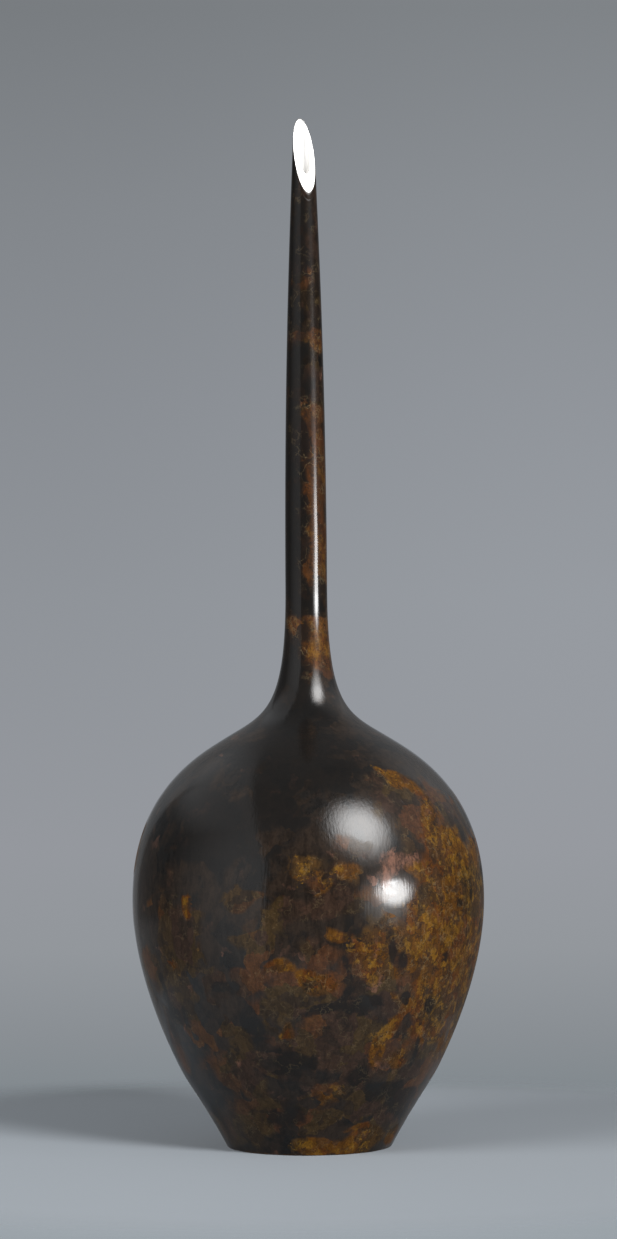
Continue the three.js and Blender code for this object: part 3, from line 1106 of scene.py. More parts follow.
# Azimuths and turns are in degrees, the other sizes in millimetres, and a strength left out is 1.
PLACED = (
    *daubs(
        Tint.GOLD,
        (64, 132, 54, 58, 0.8), (52, 95, 30, 30, 0.66), (58, 180, 26, 18, 0.52, 12), (42, 150, 13, 22, 0.75),
        (28, 131, 13, 8, 0.75), (14, 108, 24, 24, 0.32), (8, 164, 22, 13, 0.52), (15, 40, 30, 14, 0.3),
        (10, 70, 30, 16, 0.36), (86, 120, 34, 52, 0.8), (44, 108, 14, 26, 0.5), (30, 145, 16, 10, 0.4),
        (41, 217, 15, 5, 0.66, -20), (34, 221, 9, 4, 0.62, -30), (50, 200, 8, 10, 0.7, 20),
        (47, 187, 8, 12, 0.85), (58, 178, 10, 12, 0.9), (55, 169, 11, 12, 0.95), (70, 160, 13, 16, 0.9),
        (-2, 165, 9, 8, 0.9), (3, 157, 8, 6, 0.75), (42, 163, 7, 5), (36, 168, 6, 5, 0.8), (47, 132, 8, 7),
        (41, 131, 11, 8), (36, 123, 10, 8), (20, 119, 12, 12, 1.3), (21, 107, 8, 9, 1.1), (62, 146, 12, 13),
        (71, 122, 12, 13), (61, 111, 14, 12), (51, 98, 16, 9), (44, 85, 12, 7, 0.95), (54, 126, 8, 9, 0.95),
        (78, 140, 12, 18, 0.9), (68, 93, 12, 10, 0.9), (57, 78, 10, 8, 0.8), (4, 100, 11, 6, 0.95),
        (-3, 106, 7, 6, 0.9), (-10, 113, 8, 5, 0.85), (-10, 77, 4.5, 12, 0.85, -12),
        (25, 66, 4.2, 13, 1.3, 14), (29, 75, 8, 4, 1.3, 25), (36, 59, 8, 8, 0.7), (19, 8, 22, 7),
        (3, 6, 14, 6, 1.1), (35, 10, 12, 6), (-42, 142, 4, 8, 0.85, 10), (-37, 120, 7, 7, 0.6, -25),
        (-52, 115, 6, 4, 0.75), (-49, 108, 5, 12, 0.55), (14, 128, 9, 4, 0.6), (8, 131, 9, 4, 0.65, 10),
        (13, 39, 8, 6, 0.55), (28, 92, 7, 6, 0.6), (30, 108, 6, 5, 0.7), (10, 170, 6, 4, 0.6),
        (-7, 172, 7, 6, 0.5), (14, 473, 12, 7, 1.1), (30, 466, 7, 6, 0.9), (40, 424, 7, 7),
        (12, 376, 11, 11, 1.05), (34, 382, 9, 9), (20, 360, 8, 7, 0.8), (60, 350, 6, 12), (75, 326, 7, 14),
        (10, 304, 20, 8, 1.2), (50, 303, 18, 8, 1.2), (15, 290, 11, 9), (45, 288, 14, 10, 0.9),
        (30, 335, 7, 9, 0.8), (22, 397, 9, 14, 0.95), (40, 346, 10, 20), (20, 505, 10, 10, 0.45),
        (55, 400, 6, 14, 0.8), (66, 56, 22, 14, 0.5), (58, 74, 20, 12, 0.75), (76, 70, 14, 26, 0.85),
        (62, 12, 14, 10, 0.6),
    ),
    *daubs(
        Tint.RUST,
        (10, 106, 58, 52, 0.6), (10, 60, 60, 30, 0.62), (-50, 105, 42, 55, 0.55), (-30, 40, 42, 34, 0.5),
        (60, 125, 52, 66, 0.85), (40, 150, 18, 30, 0.9), (28, 132, 16, 12, 0.85),
        (52, 196, 40, 20, 0.7, -12), (62, 34, 34, 30, 0.72), (-40, 15, 40, 16, 0.45),
        (20, 540, 14, 50, 0.62), (5, 575, 6, 14, 0.8), (30, 520, 6, 12, 0.8), (0, 530, 5, 10, 0.7),
        (-10, 400, 14, 90, 0.35), (5, 167, 14, 10, 0.9), (-22, 107, 14, 6, 0.95, 8), (5, 72, 17, 10),
        (6, 70, 22, 12, 0.7), (36, 59, 13, 11), (13, 39, 14, 9, 0.95), (-52, 96, 12, 11, 0.9),
        (-69, 106, 11, 14, 0.9), (-20, 151, 17, 6, 0.9), (-20, 130, 17, 12, 0.6), (7, 147, 16, 8, 0.95),
        (-6, 142, 14, 9, 0.95), (14, 101, 14, 10, 0.9), (68, 58, 25, 16), (-3, 93, 14, 8, 0.9),
        (41, 205, 22, 12, 0.85, -20), (55, 175, 22, 26), (60, 125, 30, 40), (45, 90, 28, 22),
        (20, 117, 15, 14, 0.9), (-45, 125, 12, 16, 0.85), (12, 180, 12, 8, 0.6), (28, 26, 18, 10, 0.9),
        (-2, 22, 9, 8, 0.6), (52, 40, 14, 12, 0.8), (-30, 60, 10, 9, 0.6), (-38, 85, 8, 8, 0.6),
        (5, 118, 14, 7, 0.9), (-14, 85, 9, 8, 0.7), (-30, 40, 12, 10, 0.55), (78, 80, 16, 20, 0.9),
        (80, 30, 20, 14, 0.8), (-68, 60, 12, 14, 0.6), (35, 380, 18, 90, 0.6), (10, 470, 12, 11),
        (35, 440, 8, 12, 0.7), (40, 424, 8, 8, 0.9), (20, 400, 8, 10, 0.7), (20, 377, 12, 16),
        (65, 352, 8, 12, 0.9), (75, 325, 10, 13, 0.9), (40, 340, 8, 8, 0.6), (10, 305, 30, 10),
        (60, 303, 20, 10), (30, 288, 16, 14, 0.9), (45, 510, 8, 10, 0.6), (50, 492, 7, 9, 0.7),
    ),
    *daubs(
        Tint.SOOT,
        (12, 113, 5, 17, 0.95), (9, 87, 22, 4.5, 0.9, 4), (-22, 75, 12, 9, 0.9), (-8, 55, 18, 8, 0.9),
        (52, 28, 20, 9, 0.9), (-12, 27, 18, 12, 0.95), (47, 61, 4, 14, 0.85), (-26, 177, 26, 26, 0.9),
        (-14, 200, 26, 18, 0.95), (-14, 228, 26, 22, 1.1), (-12, 205, 14, 18), (-2, 216, 24, 14, 0.85),
        (-42, 182, 22, 16, 0.8), (11, 225, 30, 22, 0.9), (-35, 155, 8, 8, 0.7), (-28, 98, 9, 6, 0.8),
        (33, 114, 5, 8, 0.8), (20, 88, 8, 4, 0.8), (-33, 138, 7, 9, 0.7), (27, 130, 6, 7, 0.7),
        (-60, 75, 9, 10, 0.6), (40, 39, 8, 7, 0.7), (28, 122, 5, 12, 0.9), (66, 152, 4, 9, 0.8),
        (76, 134, 4, 11, 0.8), (57, 146, 4, 6, 0.8), (74, 104, 6, 5, 0.8), (82, 160, 5, 12, 0.8),
        (62, 118, 6, 4, 0.75), (52, 112, 4, 5, 0.75), (66, 186, 6, 10, 0.7), (16, 134, 9, 8, 0.9),
        (17, 90, 12, 6, 0.9), (36, 92, 6, 6, 0.8), (-5, 56, 16, 10), (50, 88, 5, 5, 0.7),
        (-62, 95, 6, 12, 0.8), (-55, 80, 12, 14, 0.8), (30, 36, 10, 8, 0.8), (-20, 250, 30, 20, 0.9),
        (-45, 200, 26, 30, 0.85), (-60, 30, 14, 12, 0.7), (0, 45, 9, 6, 0.7), (22, 50, 6, 8, 0.7),
        (-40, 450, 9, 60, 0.9), (-40, 350, 10, 60, 0.9), (-40, 540, 9, 50, 0.8), (10, 440, 6, 14, 0.8),
        (0, 410, 6, 12, 0.7), (5, 350, 7, 12, 0.8), (20, 323, 20, 9, 0.95), (-30, 270, 20, 16, 0.8),
        (0, 270, 16, 6, 0.7),
    ),
    # These rose daubs sit just above the small lamp's highlight and carry its painted haze.
    *daubs(
        Tint.ROSE_AND_HALO,
        (28, 170, 9, 7), (24, 162, 7, 5, 0.8), (35, 174, 7, 6, 0.7),
    ),
)


class Tool:
    """A geometry node group that makes a piece with a number and a material of its own."""

    name: str

    def __init__(self) -> None:
        """Builds the node tree once."""
        self.tree = bpy.data.node_groups.new(self.name, "GeometryNodeTree")
        add = self.tree.interface.new_socket
        add(name="part", in_out="INPUT", socket_type="NodeSocketGeometry")
        self.count = add(name="count", in_out="INPUT", socket_type="NodeSocketInt").identifier
        self.finish = add(name="finish", in_out="INPUT", socket_type="NodeSocketMaterial").identifier
        add(name="made", in_out="OUTPUT", socket_type="NodeSocketGeometry")
        bench = Bench(self.tree)
        given = SimpleNamespace(**bench.outs(bench.add("NodeGroupInput")))
        real = bench.out("GeometryNodeRealizeInstances", {0: self.made(bench, given)})
        bench.close(made=bench.out("GeometryNodeSetMaterial", {"Geometry": real, "Material": given.finish}))

    def made(self, bench: Bench, given: SimpleNamespace) -> Wire:
        """Lays out the tool's own nodes, from its part and its count to the geometry they make."""
        raise NotImplementedError

    def run(self, piece: Thing, count: int, finish: Material) -> Thing:
        """Runs a piece through the tool and keeps what comes out as its plain mesh.

        Args:
            piece: a mesh at the origin.
            count: the tool's number for it.
            finish: its material.

        Returns:
            The same object.
        """
        modifier = piece.modifiers.new(self.name, "NODES")
        modifier.node_group = self.tree
        modifier[self.count] = count
        modifier[self.finish] = finish
        depsgraph = bpy.context.evaluated_depsgraph_get()
        mesh = bpy.data.meshes.new_from_object(piece.evaluated_get(depsgraph))
        piece.modifiers.clear()
        piece.data = mesh
        mesh.name = piece.name
        mesh.set_sharp_from_angle(angle=SHARP)
        return piece


class TurnedShell(Tool):
    """Turns a profile round the axis into a closed shell with a number of sides."""

    name = "Turned shell"
    merge_within = 0.001 * MM

    def made(self, bench: Bench, given: SimpleNamespace) -> Wire:
        """A grid with a column of points for each side, set on the profile turned to that side.

        Args:
            bench: the bench on the tool's nodes.
            given: the tool's inputs: part, count and finish.

        Returns:
            The shell's geometry.
        """
        rows = bench.out("GeometryNodeAttributeDomainSize", {0: given.part}, "Point Count")
        plugs = {"Vertices X": given.count + 1.0, "Vertices Y": rows}
        grid = bench.out("GeometryNodeMeshGrid", plugs, "Mesh")
        index = bench.out("GeometryNodeInputIndex")
        plugs = {"Geometry": given.part, "Value": bench.out("GeometryNodeInputPosition"),
                 "Index": bench.math("MODULO", index, rows)}
        parts = bench.split(bench.out("GeometryNodeSampleIndex", plugs, data_type="FLOAT_VECTOR"))
        turn = bench.math("FLOOR", index / rows) / given.count * (2 * math.pi)
        across = parts["X"] * bench.math("SINE", turn)
        away = parts["X"] * bench.math("COSINE", turn) * -1.0
        spot = bench.out("ShaderNodeCombineXYZ", {0: across, 1: away, 2: parts["Z"]})
        moved = bench.out("GeometryNodeSetPosition", {"Geometry": grid, "Position": spot})
        plugs = {"Geometry": moved, "Distance": self.merge_within}
        return bench.out("GeometryNodeSetShadeSmooth", {0: bench.out("GeometryNodeMergeByDistance", plugs)})

    def turn(self, name: str, profile: Profile, sides: int, finish: Material) -> Thing:
        """Turns a profile into a piece at the origin.

        Args:
            name: the piece's name.
            profile: (radius, height) up the outside and down the inside.
            sides: how many sides it gets.
            finish: its material.

        Returns:
            The piece.
        """
        mesh = bpy.data.meshes.new(name)
        mesh.from_pydata([(radius, 0, height) for radius, height in profile],
                         [(i, i + 1) for i in range(len(profile) - 1)], [])
        return self.run(linked(name, mesh), sides, finish)


class RoundTheAxis(Tool):
    """Repeats a small part a number of times evenly round the axis."""

    name = "Round the axis"

    def made(self, bench: Bench, given: SimpleNamespace) -> Wire:
        """A copy on each of some points at the axis, each turned further.

        Args:
            bench: the bench on the tool's nodes.
            given: the tool's inputs: part, count and finish.

        Returns:
            The row's geometry.
        """
        points = bench.out("GeometryNodeMeshLine", {"Count": given.count, "Offset": (0, 0, 0)})
        turn = bench.out("GeometryNodeInputIndex") / given.count * (2 * math.pi)
        rotation = bench.out("ShaderNodeCombineXYZ", {2: turn})
        plugs = {"Points": points, "Instance": given.part, "Rotation": rotation}
        return bench.out("GeometryNodeInstanceOnPoints", plugs)


def linked(name: str, data: bpy.types.ID) -> Thing:
    """Puts a new object in the scene.

    Args:
        name: its name.
        data: its mesh, lamp or camera.

    Returns:
        The object.
    """
    made = bpy.data.objects.new(name, data)
    bpy.context.scene.collection.objects.link(made)
    return made


def piece_from(name: str, points: list, faces: list, *finishes: Material,
               picks: list[int] | None = None) -> Thing:
    """A piece from its corners and faces.

    Args:
        name: the piece's name.
        points: its corners.
        faces: each face's corners, seen from outside.
        *finishes: its materials.
        picks: which material each face takes, where there are several.

    Returns:
        The piece.
    """
    mesh = bpy.data.meshes.new(name)
    mesh.from_pydata(points, [], faces)
    for finish in finishes:
        mesh.materials.append(finish)
    mesh.polygons.foreach_set("use_smooth", [True] * len(faces))
    if picks:
        mesh.polygons.foreach_set("material_index", picks)
    mesh.set_sharp_from_angle(angle=SHARP)
    return linked(name, mesh)


def loft(name: str, columns: list[Profile], *finishes: Material,
         picks: list[int] | None = None) -> Thing:
    """A piece from upright columns set evenly round the axis.

    Args:
        name: the piece's name.
        columns: (radius, height) up the outside and down the inside, each closed on itself.
        *finishes: its materials.
        picks: which material each face of a column takes.

    Returns:
        The piece.
    """
    sides, rows = len(columns), len(columns[0])
    points, faces = [], []
    for side, column in enumerate(columns):
        way = bearing(360 * side / sides)
        points += [way * radius + Vector((0, 0, height)) for radius, height in column]
        here, there = side * rows, (side + 1) % sides * rows
        for row in range(rows):
            after = (row + 1) % rows
            faces.append((here + row, there + row, there + after, here + after))
    return piece_from(name, points, faces, *finishes, picks=picks * sides if picks else None)


def disc_faces(rings: int, spokes: int) -> list[tuple[int, ...]]:
    """Faces of a disc, from point 0 in the middle out over rings of points.

    Args:
        rings: how many rings.
        spokes: how many points in each.

    Returns:
        The corners of each face.
    """
    after = [*range(1, spokes), 0]
    faces = [(0, 1 + i, 1 + after[i]) for i in range(spokes)]
    for first in range(1, 1 + (rings - 1) * spokes, spokes):
        faces += [(first + i, first + i + spokes, first + after[i] + spokes, first + after[i])
                  for i in range(spokes)]
    return faces


def fit(piece: Thing, slot: str, *nodes: str) -> Thing:
    """Puts a finished piece on the vase in place of its CAD nodes.

    Args:
        piece: the piece.
        slot: the name of a material slot, not used.
        *nodes: the CAD nodes.

    Returns:
        The same piece.
    """
    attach(piece, "root")
    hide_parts(*nodes)
    log.info("%s: %d faces, in place of %s", piece.name, len(piece.data.polygons), ", ".join(nodes))
    return piece


@dataclass(frozen=True)
class Part:
    """Common ground of the vase's parts: what they are made with, and the sizes they share."""

    outline: Outline
    finishes: Finishes
    dauber: Dauber
    shell: TurnedShell
    row: RoundTheAxis
    slant: Slant
    sides: int = 192
    brink: float = 0.2 * MM
    play: float = 0.2 * MM
    sleeve_wall: float = 1.2 * MM
    lip: float = 0.8 * MM

    def turned(self, name: str, profile: Profile, node: str) -> Thing:
        """Turns a piece of patinated bronze and fits it in place of a CAD node."""
        return self.dauber.dress(self.shell.turn(name, profile, self.sides, self.finishes.patina), node)


@dataclass(frozen=True)
class Body(Part):
    """The two cast shells of the body, which overlap in a half-lap at the belly."""

    sides: int = 256
    wall: float = 3 * MM
    lap_depth: float = 6 * MM
    step: float = 1.5 * MM
    inner_step: float = 5 * MM
    foot_edge: float = 0.45 * MM
    ledge_width: float = 5 * MM
    flange: float = 3 * MM
    throat_taper: float = 14 * MM

    def lower(self) -> Thing:
        """The lower shell, from the foot to the belly, with the recess for the base plate.

        Returns:
            The shell.
        """
        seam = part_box("lower_body")[1].z
        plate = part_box("base_plate")[1]
        recess, flange = plate.x + self.play, plate.z + self.flange
        ledge = recess - self.ledge_width
        lap, lap_foot = self.outline.radius_at(seam) - self.wall / 2, seam - self.lap_depth
        foot, edge = self.outline.radius_at(0), self.foot_edge
        profile = [
            (foot - 2 * edge, 0), (foot - edge, 0.1 * edge), (foot - 0.3 * edge, 0.4 * edge),
            *self.outline.run(1.2 * edge, seam, self.step, brink=self.brink),
            (lap, seam), (lap, lap_foot),
            *self.outline.run(lap_foot, flange, self.inner_step, self.wall),
            (ledge, flange), (ledge, plate.z), (recess, plate.z), (recess, edge),
            (recess + 0.3 * edge, 0.3 * edge), (recess + edge, 0), (foot - 2 * edge, 0),
        ]
        return self.turned("body_lower_shell", profile, "lower_body")

    def upper(self) -> Thing:
        """The upper shell, from the belly to the neck's root, with the lap's tongue and the throat.

        Returns:
            The shell.
        """
        foot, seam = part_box("lower_body")[1].z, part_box("neck_lower")[0].z
        sleeve_low, sleeve_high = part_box("root_sleeve")
        counterbore, bore = sleeve_high.x + self.play, sleeve_high.x - self.sleeve_wall
        belly = self.outline.radius_at(foot)
        tongue, tongue_foot = belly - self.wall / 2 - self.play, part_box("upper_body")[0].z
        profile = [
            *self.outline.run(foot, seam, self.step, brink=self.brink),
            (counterbore, seam), (counterbore, sleeve_low.z), (bore, sleeve_low.z),
            *self.outline.run(sleeve_low.z - self.throat_taper, foot, self.inner_step, self.wall),
            (belly - self.wall, tongue_foot), (tongue, tongue_foot), (tongue, foot), (belly, foot),
        ]
        return self.turned("body_upper_shell", profile, "upper_body")

    def build(self) -> list[Thing]:
        """Builds both shells."""
        return [self.lower(), self.upper()]


@dataclass(frozen=True)
class Neck(Part):
    """The two turned lengths of the neck."""

    step: float = 1.6 * MM
    tip_wall: float = 0.6 * MM
    lip_gap: float = 0.02 * MM
    spigot_step: float = 1.0 * MM

    def lower(self) -> Thing:
        """The lower length, with a counterbore at each end for the sleeves.

        Returns:
            The length.
        """
        foot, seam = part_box("neck_lower")[0].z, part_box("neck_upper")[0].z
        root, (joint_low, joint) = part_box("root_sleeve")[1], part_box("neck_sleeve")
        profile = [
            *self.outline.run(foot, seam, self.step, brink=self.brink),
            (joint.x + self.play, seam), (joint.x + self.play, joint_low.z),
            (joint.x - self.sleeve_wall, joint_low.z), (root.x - self.sleeve_wall, root.z),
            (root.x + self.play, root.z), (root.x + self.play, foot), (self.outline.radius_at(foot), foot),
        ]
        return self.turned("neck_lower_length", profile, "neck_lower")

    def upper(self) -> Thing:
        """The upper length, cut on the slant under the silver lip.

        Returns:
            The length.
        """
        seam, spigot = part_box("neck_upper")[0].z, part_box("mouth_liner")[0].z
        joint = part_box("neck_sleeve")[1]
        tip = self.outline.stations[-1]
        counterbore = tip.radius - self.tip_wall
        cut = self.lip + self.lip_gap
        rows = round((tip.height - seam) / self.step)
        columns = []
        for side in range(self.sides):
            around = 360 * side / self.sides
            top = self.slant.meets_wall(around, cut)
            rises = (seam + (top - seam) * i / rows for i in range(1, rows + 1))
            heights = [seam, seam + self.brink, *rises]
            columns.append([
                *((self.outline.radius_at(z), z) for z in heights),
                (counterbore, max(self.slant.height_at(around, counterbore, cut), spigot)),
                (counterbore, spigot), (counterbore - self.spigot_step, spigot),
                (joint.x - self.sleeve_wall, joint.z), (joint.x + self.play, joint.z),
                (joint.x + self.play, seam),
            ])
        return self.dauber.dress(loft("neck_upper_length", columns, self.finishes.patina), "neck_upper")

    def build(self) -> list[Thing]:
        """Builds both lengths."""
        return [self.lower(), self.upper()]


@dataclass(frozen=True)
class Mouth(Part):
    """The silver liner: a thin lip on the slanting cut, and a spigot that lines the bore."""

    rounding: float = 0.12 * MM
    border: float = 0.32 * MM
    bore: float = 4.0 * MM
    spigot: float = 4.8 * MM
    rows: int = 12
    lip_frost: float = 0.8
    bore_frost: float = 1.0
    under_frost: float = 0.5

    def build(self) -> list[Thing]:
        """Builds the liner, whose edge and rim take the patina.

        Returns:
            The liner alone.
        """
        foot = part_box("mouth_liner")[0].z
        columns = []
        for side in range(self.sides):
            around = 360 * side / self.sides
            low, high = (self.slant.meets_wall(around, depth) for depth in (self.lip, self.rounding))
            outer = [(self.outline.radius_at(z), z) for z in (low, (low + high) / 2, high)]
            rim, inner = outer[-1][0], self.bore + self.rounding
            inset = rim - self.border
            face = [(r, self.slant.height_at(around, r))
                    for r in (rim - self.rounding, inset, (inset + inner) / 2, inner)]
            top = self.slant.height_at(around, self.bore, self.rounding)
            wall = [(self.bore, top + (foot - top) * i / self.rows) for i in range(self.rows + 1)]
            spigot_top = self.slant.height_at(around, self.spigot, self.lip)
            under = [(self.spigot, foot), (self.spigot, spigot_top)]
            columns.append(outer + face + wall + under)
        edged = len(outer) + 1
        picks = [1] * edged + [0] * (len(columns[0]) - edged)
        piece = loft("mouth_liner_silver", columns, self.finishes.silver, self.finishes.patina, picks=picks)
        frost = ([self.lip_frost] * len(outer + face) + [self.bore_frost] * len(wall)
                 + [self.under_frost] * len(under))
        self.dauber.paint(piece)
        self.dauber.write(piece.data, "frosted", np.array(frost * self.sides))
        return [fit(piece, "silver", "mouth_liner")]


@dataclass(frozen=True)
class Fasteners(Part):
    """The core plugs of the body and the pins of the neck joints, flush and shaped to the wall.

    Each cap is a lens that stands proud of the wall by a hair. Its edge dips just under the
    surface and goes down as far as sunk.
    """

    plug_radius: float = 3.5 * MM
    pin_radius: float = 1.2 * MM
    proud: float = 0.035 * MM
    dip: float = 0.03 * MM
    sunk: float = 0.5 * MM
    spokes: int = 24

    def on_wall(self, azimuth: float, height: float, across: float, up: float, lift: float) -> Vector:
        """A point beside a place on the wall.

        Args:
            azimuth: the place's azimuth.
            height: its height.
            across: how far round the wall.
            up: how far up along it.
            lift: how far off it.

        Returns:
            The point.
        """
        lean = self.outline.lean_at(height)
        level = height + up * math.cos(lean)
        radius = float(self.outline.radius_at(level))
        way = bearing(azimuth + math.degrees(across / radius))
        away = way * math.cos(lean) - Vector((0, 0, math.sin(lean)))
        return way * radius + Vector((0, 0, level)) + away * lift

    def ring(self, name: str, nodes: list[str], radius: float) -> Thing:
        """A row of equal caps evenly round the axis.

        Args:
            name: the piece's name.
            nodes: the CAD nodes that it stands for; the first says where the first cap is.
            radius: each cap's radius.

        Returns:
            The row as one piece.
        """
        low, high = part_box(nodes[0])
        middle = (low + high) / 2
        azimuth, height = math.degrees(math.atan2(middle.x, -middle.y)), middle.z
        rings = [(share, self.proud) for share in (0.35, 0.7, 0.94)] + [(1.0, -self.dip), (1.0, -self.sunk)]
        points = [self.on_wall(azimuth, height, 0, 0, self.proud)]
        for share, lift in rings:
            for spoke in range(self.spokes):
                turn = 2 * math.pi * spoke / self.spokes
                across, up = share * radius * math.cos(turn), share * radius * math.sin(turn)
                points.append(self.on_wall(azimuth, height, across, up, lift))
        points.append(self.on_wall(azimuth, height, 0, 0, -self.sunk))
        last = len(points) - 1
        under = last - self.spokes
        faces = disc_faces(len(rings), self.spokes)
        faces += [(last, under + (i + 1) % self.spokes, under + i) for i in range(self.spokes)]
        piece = piece_from(name, points, faces, self.finishes.patina)
        return self.dauber.dress(self.row.run(piece, len(nodes), self.finishes.patina), *nodes)

    def build(self) -> list[Thing]:
        """Builds two rows of three plugs, and two rows of two pins at each joint.

        Returns:
            The rows.
        """
        made = []
        for name, first in (("core_plugs_lower", 1), ("core_plugs_upper", 4)):
            made.append(self.ring(name, [f"core_plug_{first + i}" for i in range(3)], self.plug_radius))
        for joint in ("root", "neck"):
            for name, first in (("low", 1), ("high", 3)):
                nodes = [f"{joint}_pin_{first + i}" for i in range(2)]
                made.append(self.ring(f"{joint}_pins_{name}", nodes, self.pin_radius))
        return made


@dataclass(frozen=True)
class Foot(Part):
    """What closes the foot: a faced plate and the solder that holds it."""

    chamfer: float = 0.4 * MM
    dish: float = 0.25 * MM
    bead: float = 2 * MM
    ripple: float = 0.22 * MM
    seed: int = 5
    waves: int = 7
    hollow: float = 0.16

    def plate(self) -> Thing:
        """The plate, with a small chamfer round its lower edge and a shallow turned dish.

        Returns:
            The plate.
        """
        low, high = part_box("base_plate")
        edge = high.x
        profile = [
            *((edge * out, low.z + self.dish * (1 - out ** 2)) for out in (0, 0.1, 0.3, 0.5, 0.7, 0.9)),
            (edge - self.chamfer, low.z), (edge, low.z + self.chamfer),
            (edge, high.z - self.chamfer), (edge - self.chamfer, high.z), (0, high.z),
        ]
        piece = self.shell.turn("base_plate_turned", profile, self.sides, self.finishes.plate)
        return fit(piece, "bare_bronze", "base_plate")

    def solder(self) -> Thing:
        """The bead of solder in the corner between plate and rim, uneven as it cooled.

        Returns:
            The bead.
        """
        outer, _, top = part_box("base_solder")[1]
        chance = random.Random(self.seed)
        waves = [(chance.randint(5, 41), chance.uniform(0, ANY_PHASE), chance.uniform(0.3, 1))
                 for _ in range(self.waves)]
        columns = []
        for side in range(self.sides):
            turn = 2 * math.pi * side / self.sides
            swell = sum(size * math.sin(number * turn + start) for number, start, size in waves) / 4
            reach = self.bead - self.ripple * (0.5 + 0.5 * swell)
            column = [(outer, top - reach), (outer, top), (outer - reach, top)]
            for share in (0.25, 0.5, 0.75):
                dip = self.hollow * reach * math.sin(math.pi * share)
                column.append((outer - reach * (1 - share) - 0.4 * dip, top - reach * share + dip))
            columns.append(column)
        return fit(loft("base_solder_bead", columns, self.finishes.solder), "solder", "base_solder")

    def build(self) -> list[Thing]:
        """Builds the plate and its solder."""
        return [self.plate(), self.solder()]


@dataclass(frozen=True)
class Sleeves(Part):
    """The hidden sleeves of the neck joints, which keep their CAD shape."""

    def build(self) -> list[Thing]:
        """Gives each sleeve the bare bronze and adds no piece.

        Returns:
            No piece.
        """
        for name in ("root_sleeve", "neck_sleeve"):
            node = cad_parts[name]
            node.data.materials.clear()
            node.data.materials.append(self.finishes.bare_bronze)
            log.info("%s keeps its CAD shape", name)
        return []


@dataclass(frozen=True)
class Lamp:
    """A flat lamp.

    target is the spot on the vase that it is seen from, azimuth, elevation and distance say where
    it is from there, across and upwards are its size, glow is the brightness of its middle, rim that
    of its edge as a share of glow, and the middle ends at inner and the edge begins at outer. lights
    says whether it lights what is matt, and mirrored whether it shows in what is glossy.
    """

    name: str
    target: Spot
    azimuth: float
    elevation: float
    distance: float
    across: float
    upwards: float
    glow: float
    rim: float
    inner: float = 0.2
    outer: float = 0.8
    lights: bool = True
    mirrored: bool = True

    def hang(self) -> None:
        """Hangs the lamp so that it faces its target."""
        light = bpy.data.lights.new(self.name, "AREA")
        light.shape = "ELLIPSE"
        light.size, light.size_y = self.across, self.upwards
        light.energy = self.glow * math.pi * self.across * self.upwards * math.pi / 4
        light.use_nodes = True
        bench = Bench(light.node_tree)
        emission = next(n for n in bench.tree.nodes if n.type == "EMISSION")
        spot = bench.out("ShaderNodeNewGeometry", output="Parametric")
        off = bench.vector("LENGTH", bench.vector("SUBTRACT", spot, (0.5, 0.5, 0)))
        bench.fill(emission, {"Strength": bench.ramp(off * 2.0, self.inner, self.outer, 1.0, self.rim)})
        away = direction(self.azimuth, self.elevation)
        facing = away.to_track_quat("Z", "Y").to_matrix().to_4x4()
        hung = linked(self.name, light)
        hung.matrix_world = Matrix.Translation(Vector(self.target) + away * self.distance) @ facing
        hung.visible_camera = False
        hung.visible_diffuse = self.lights
        hung.visible_glossy = self.mirrored


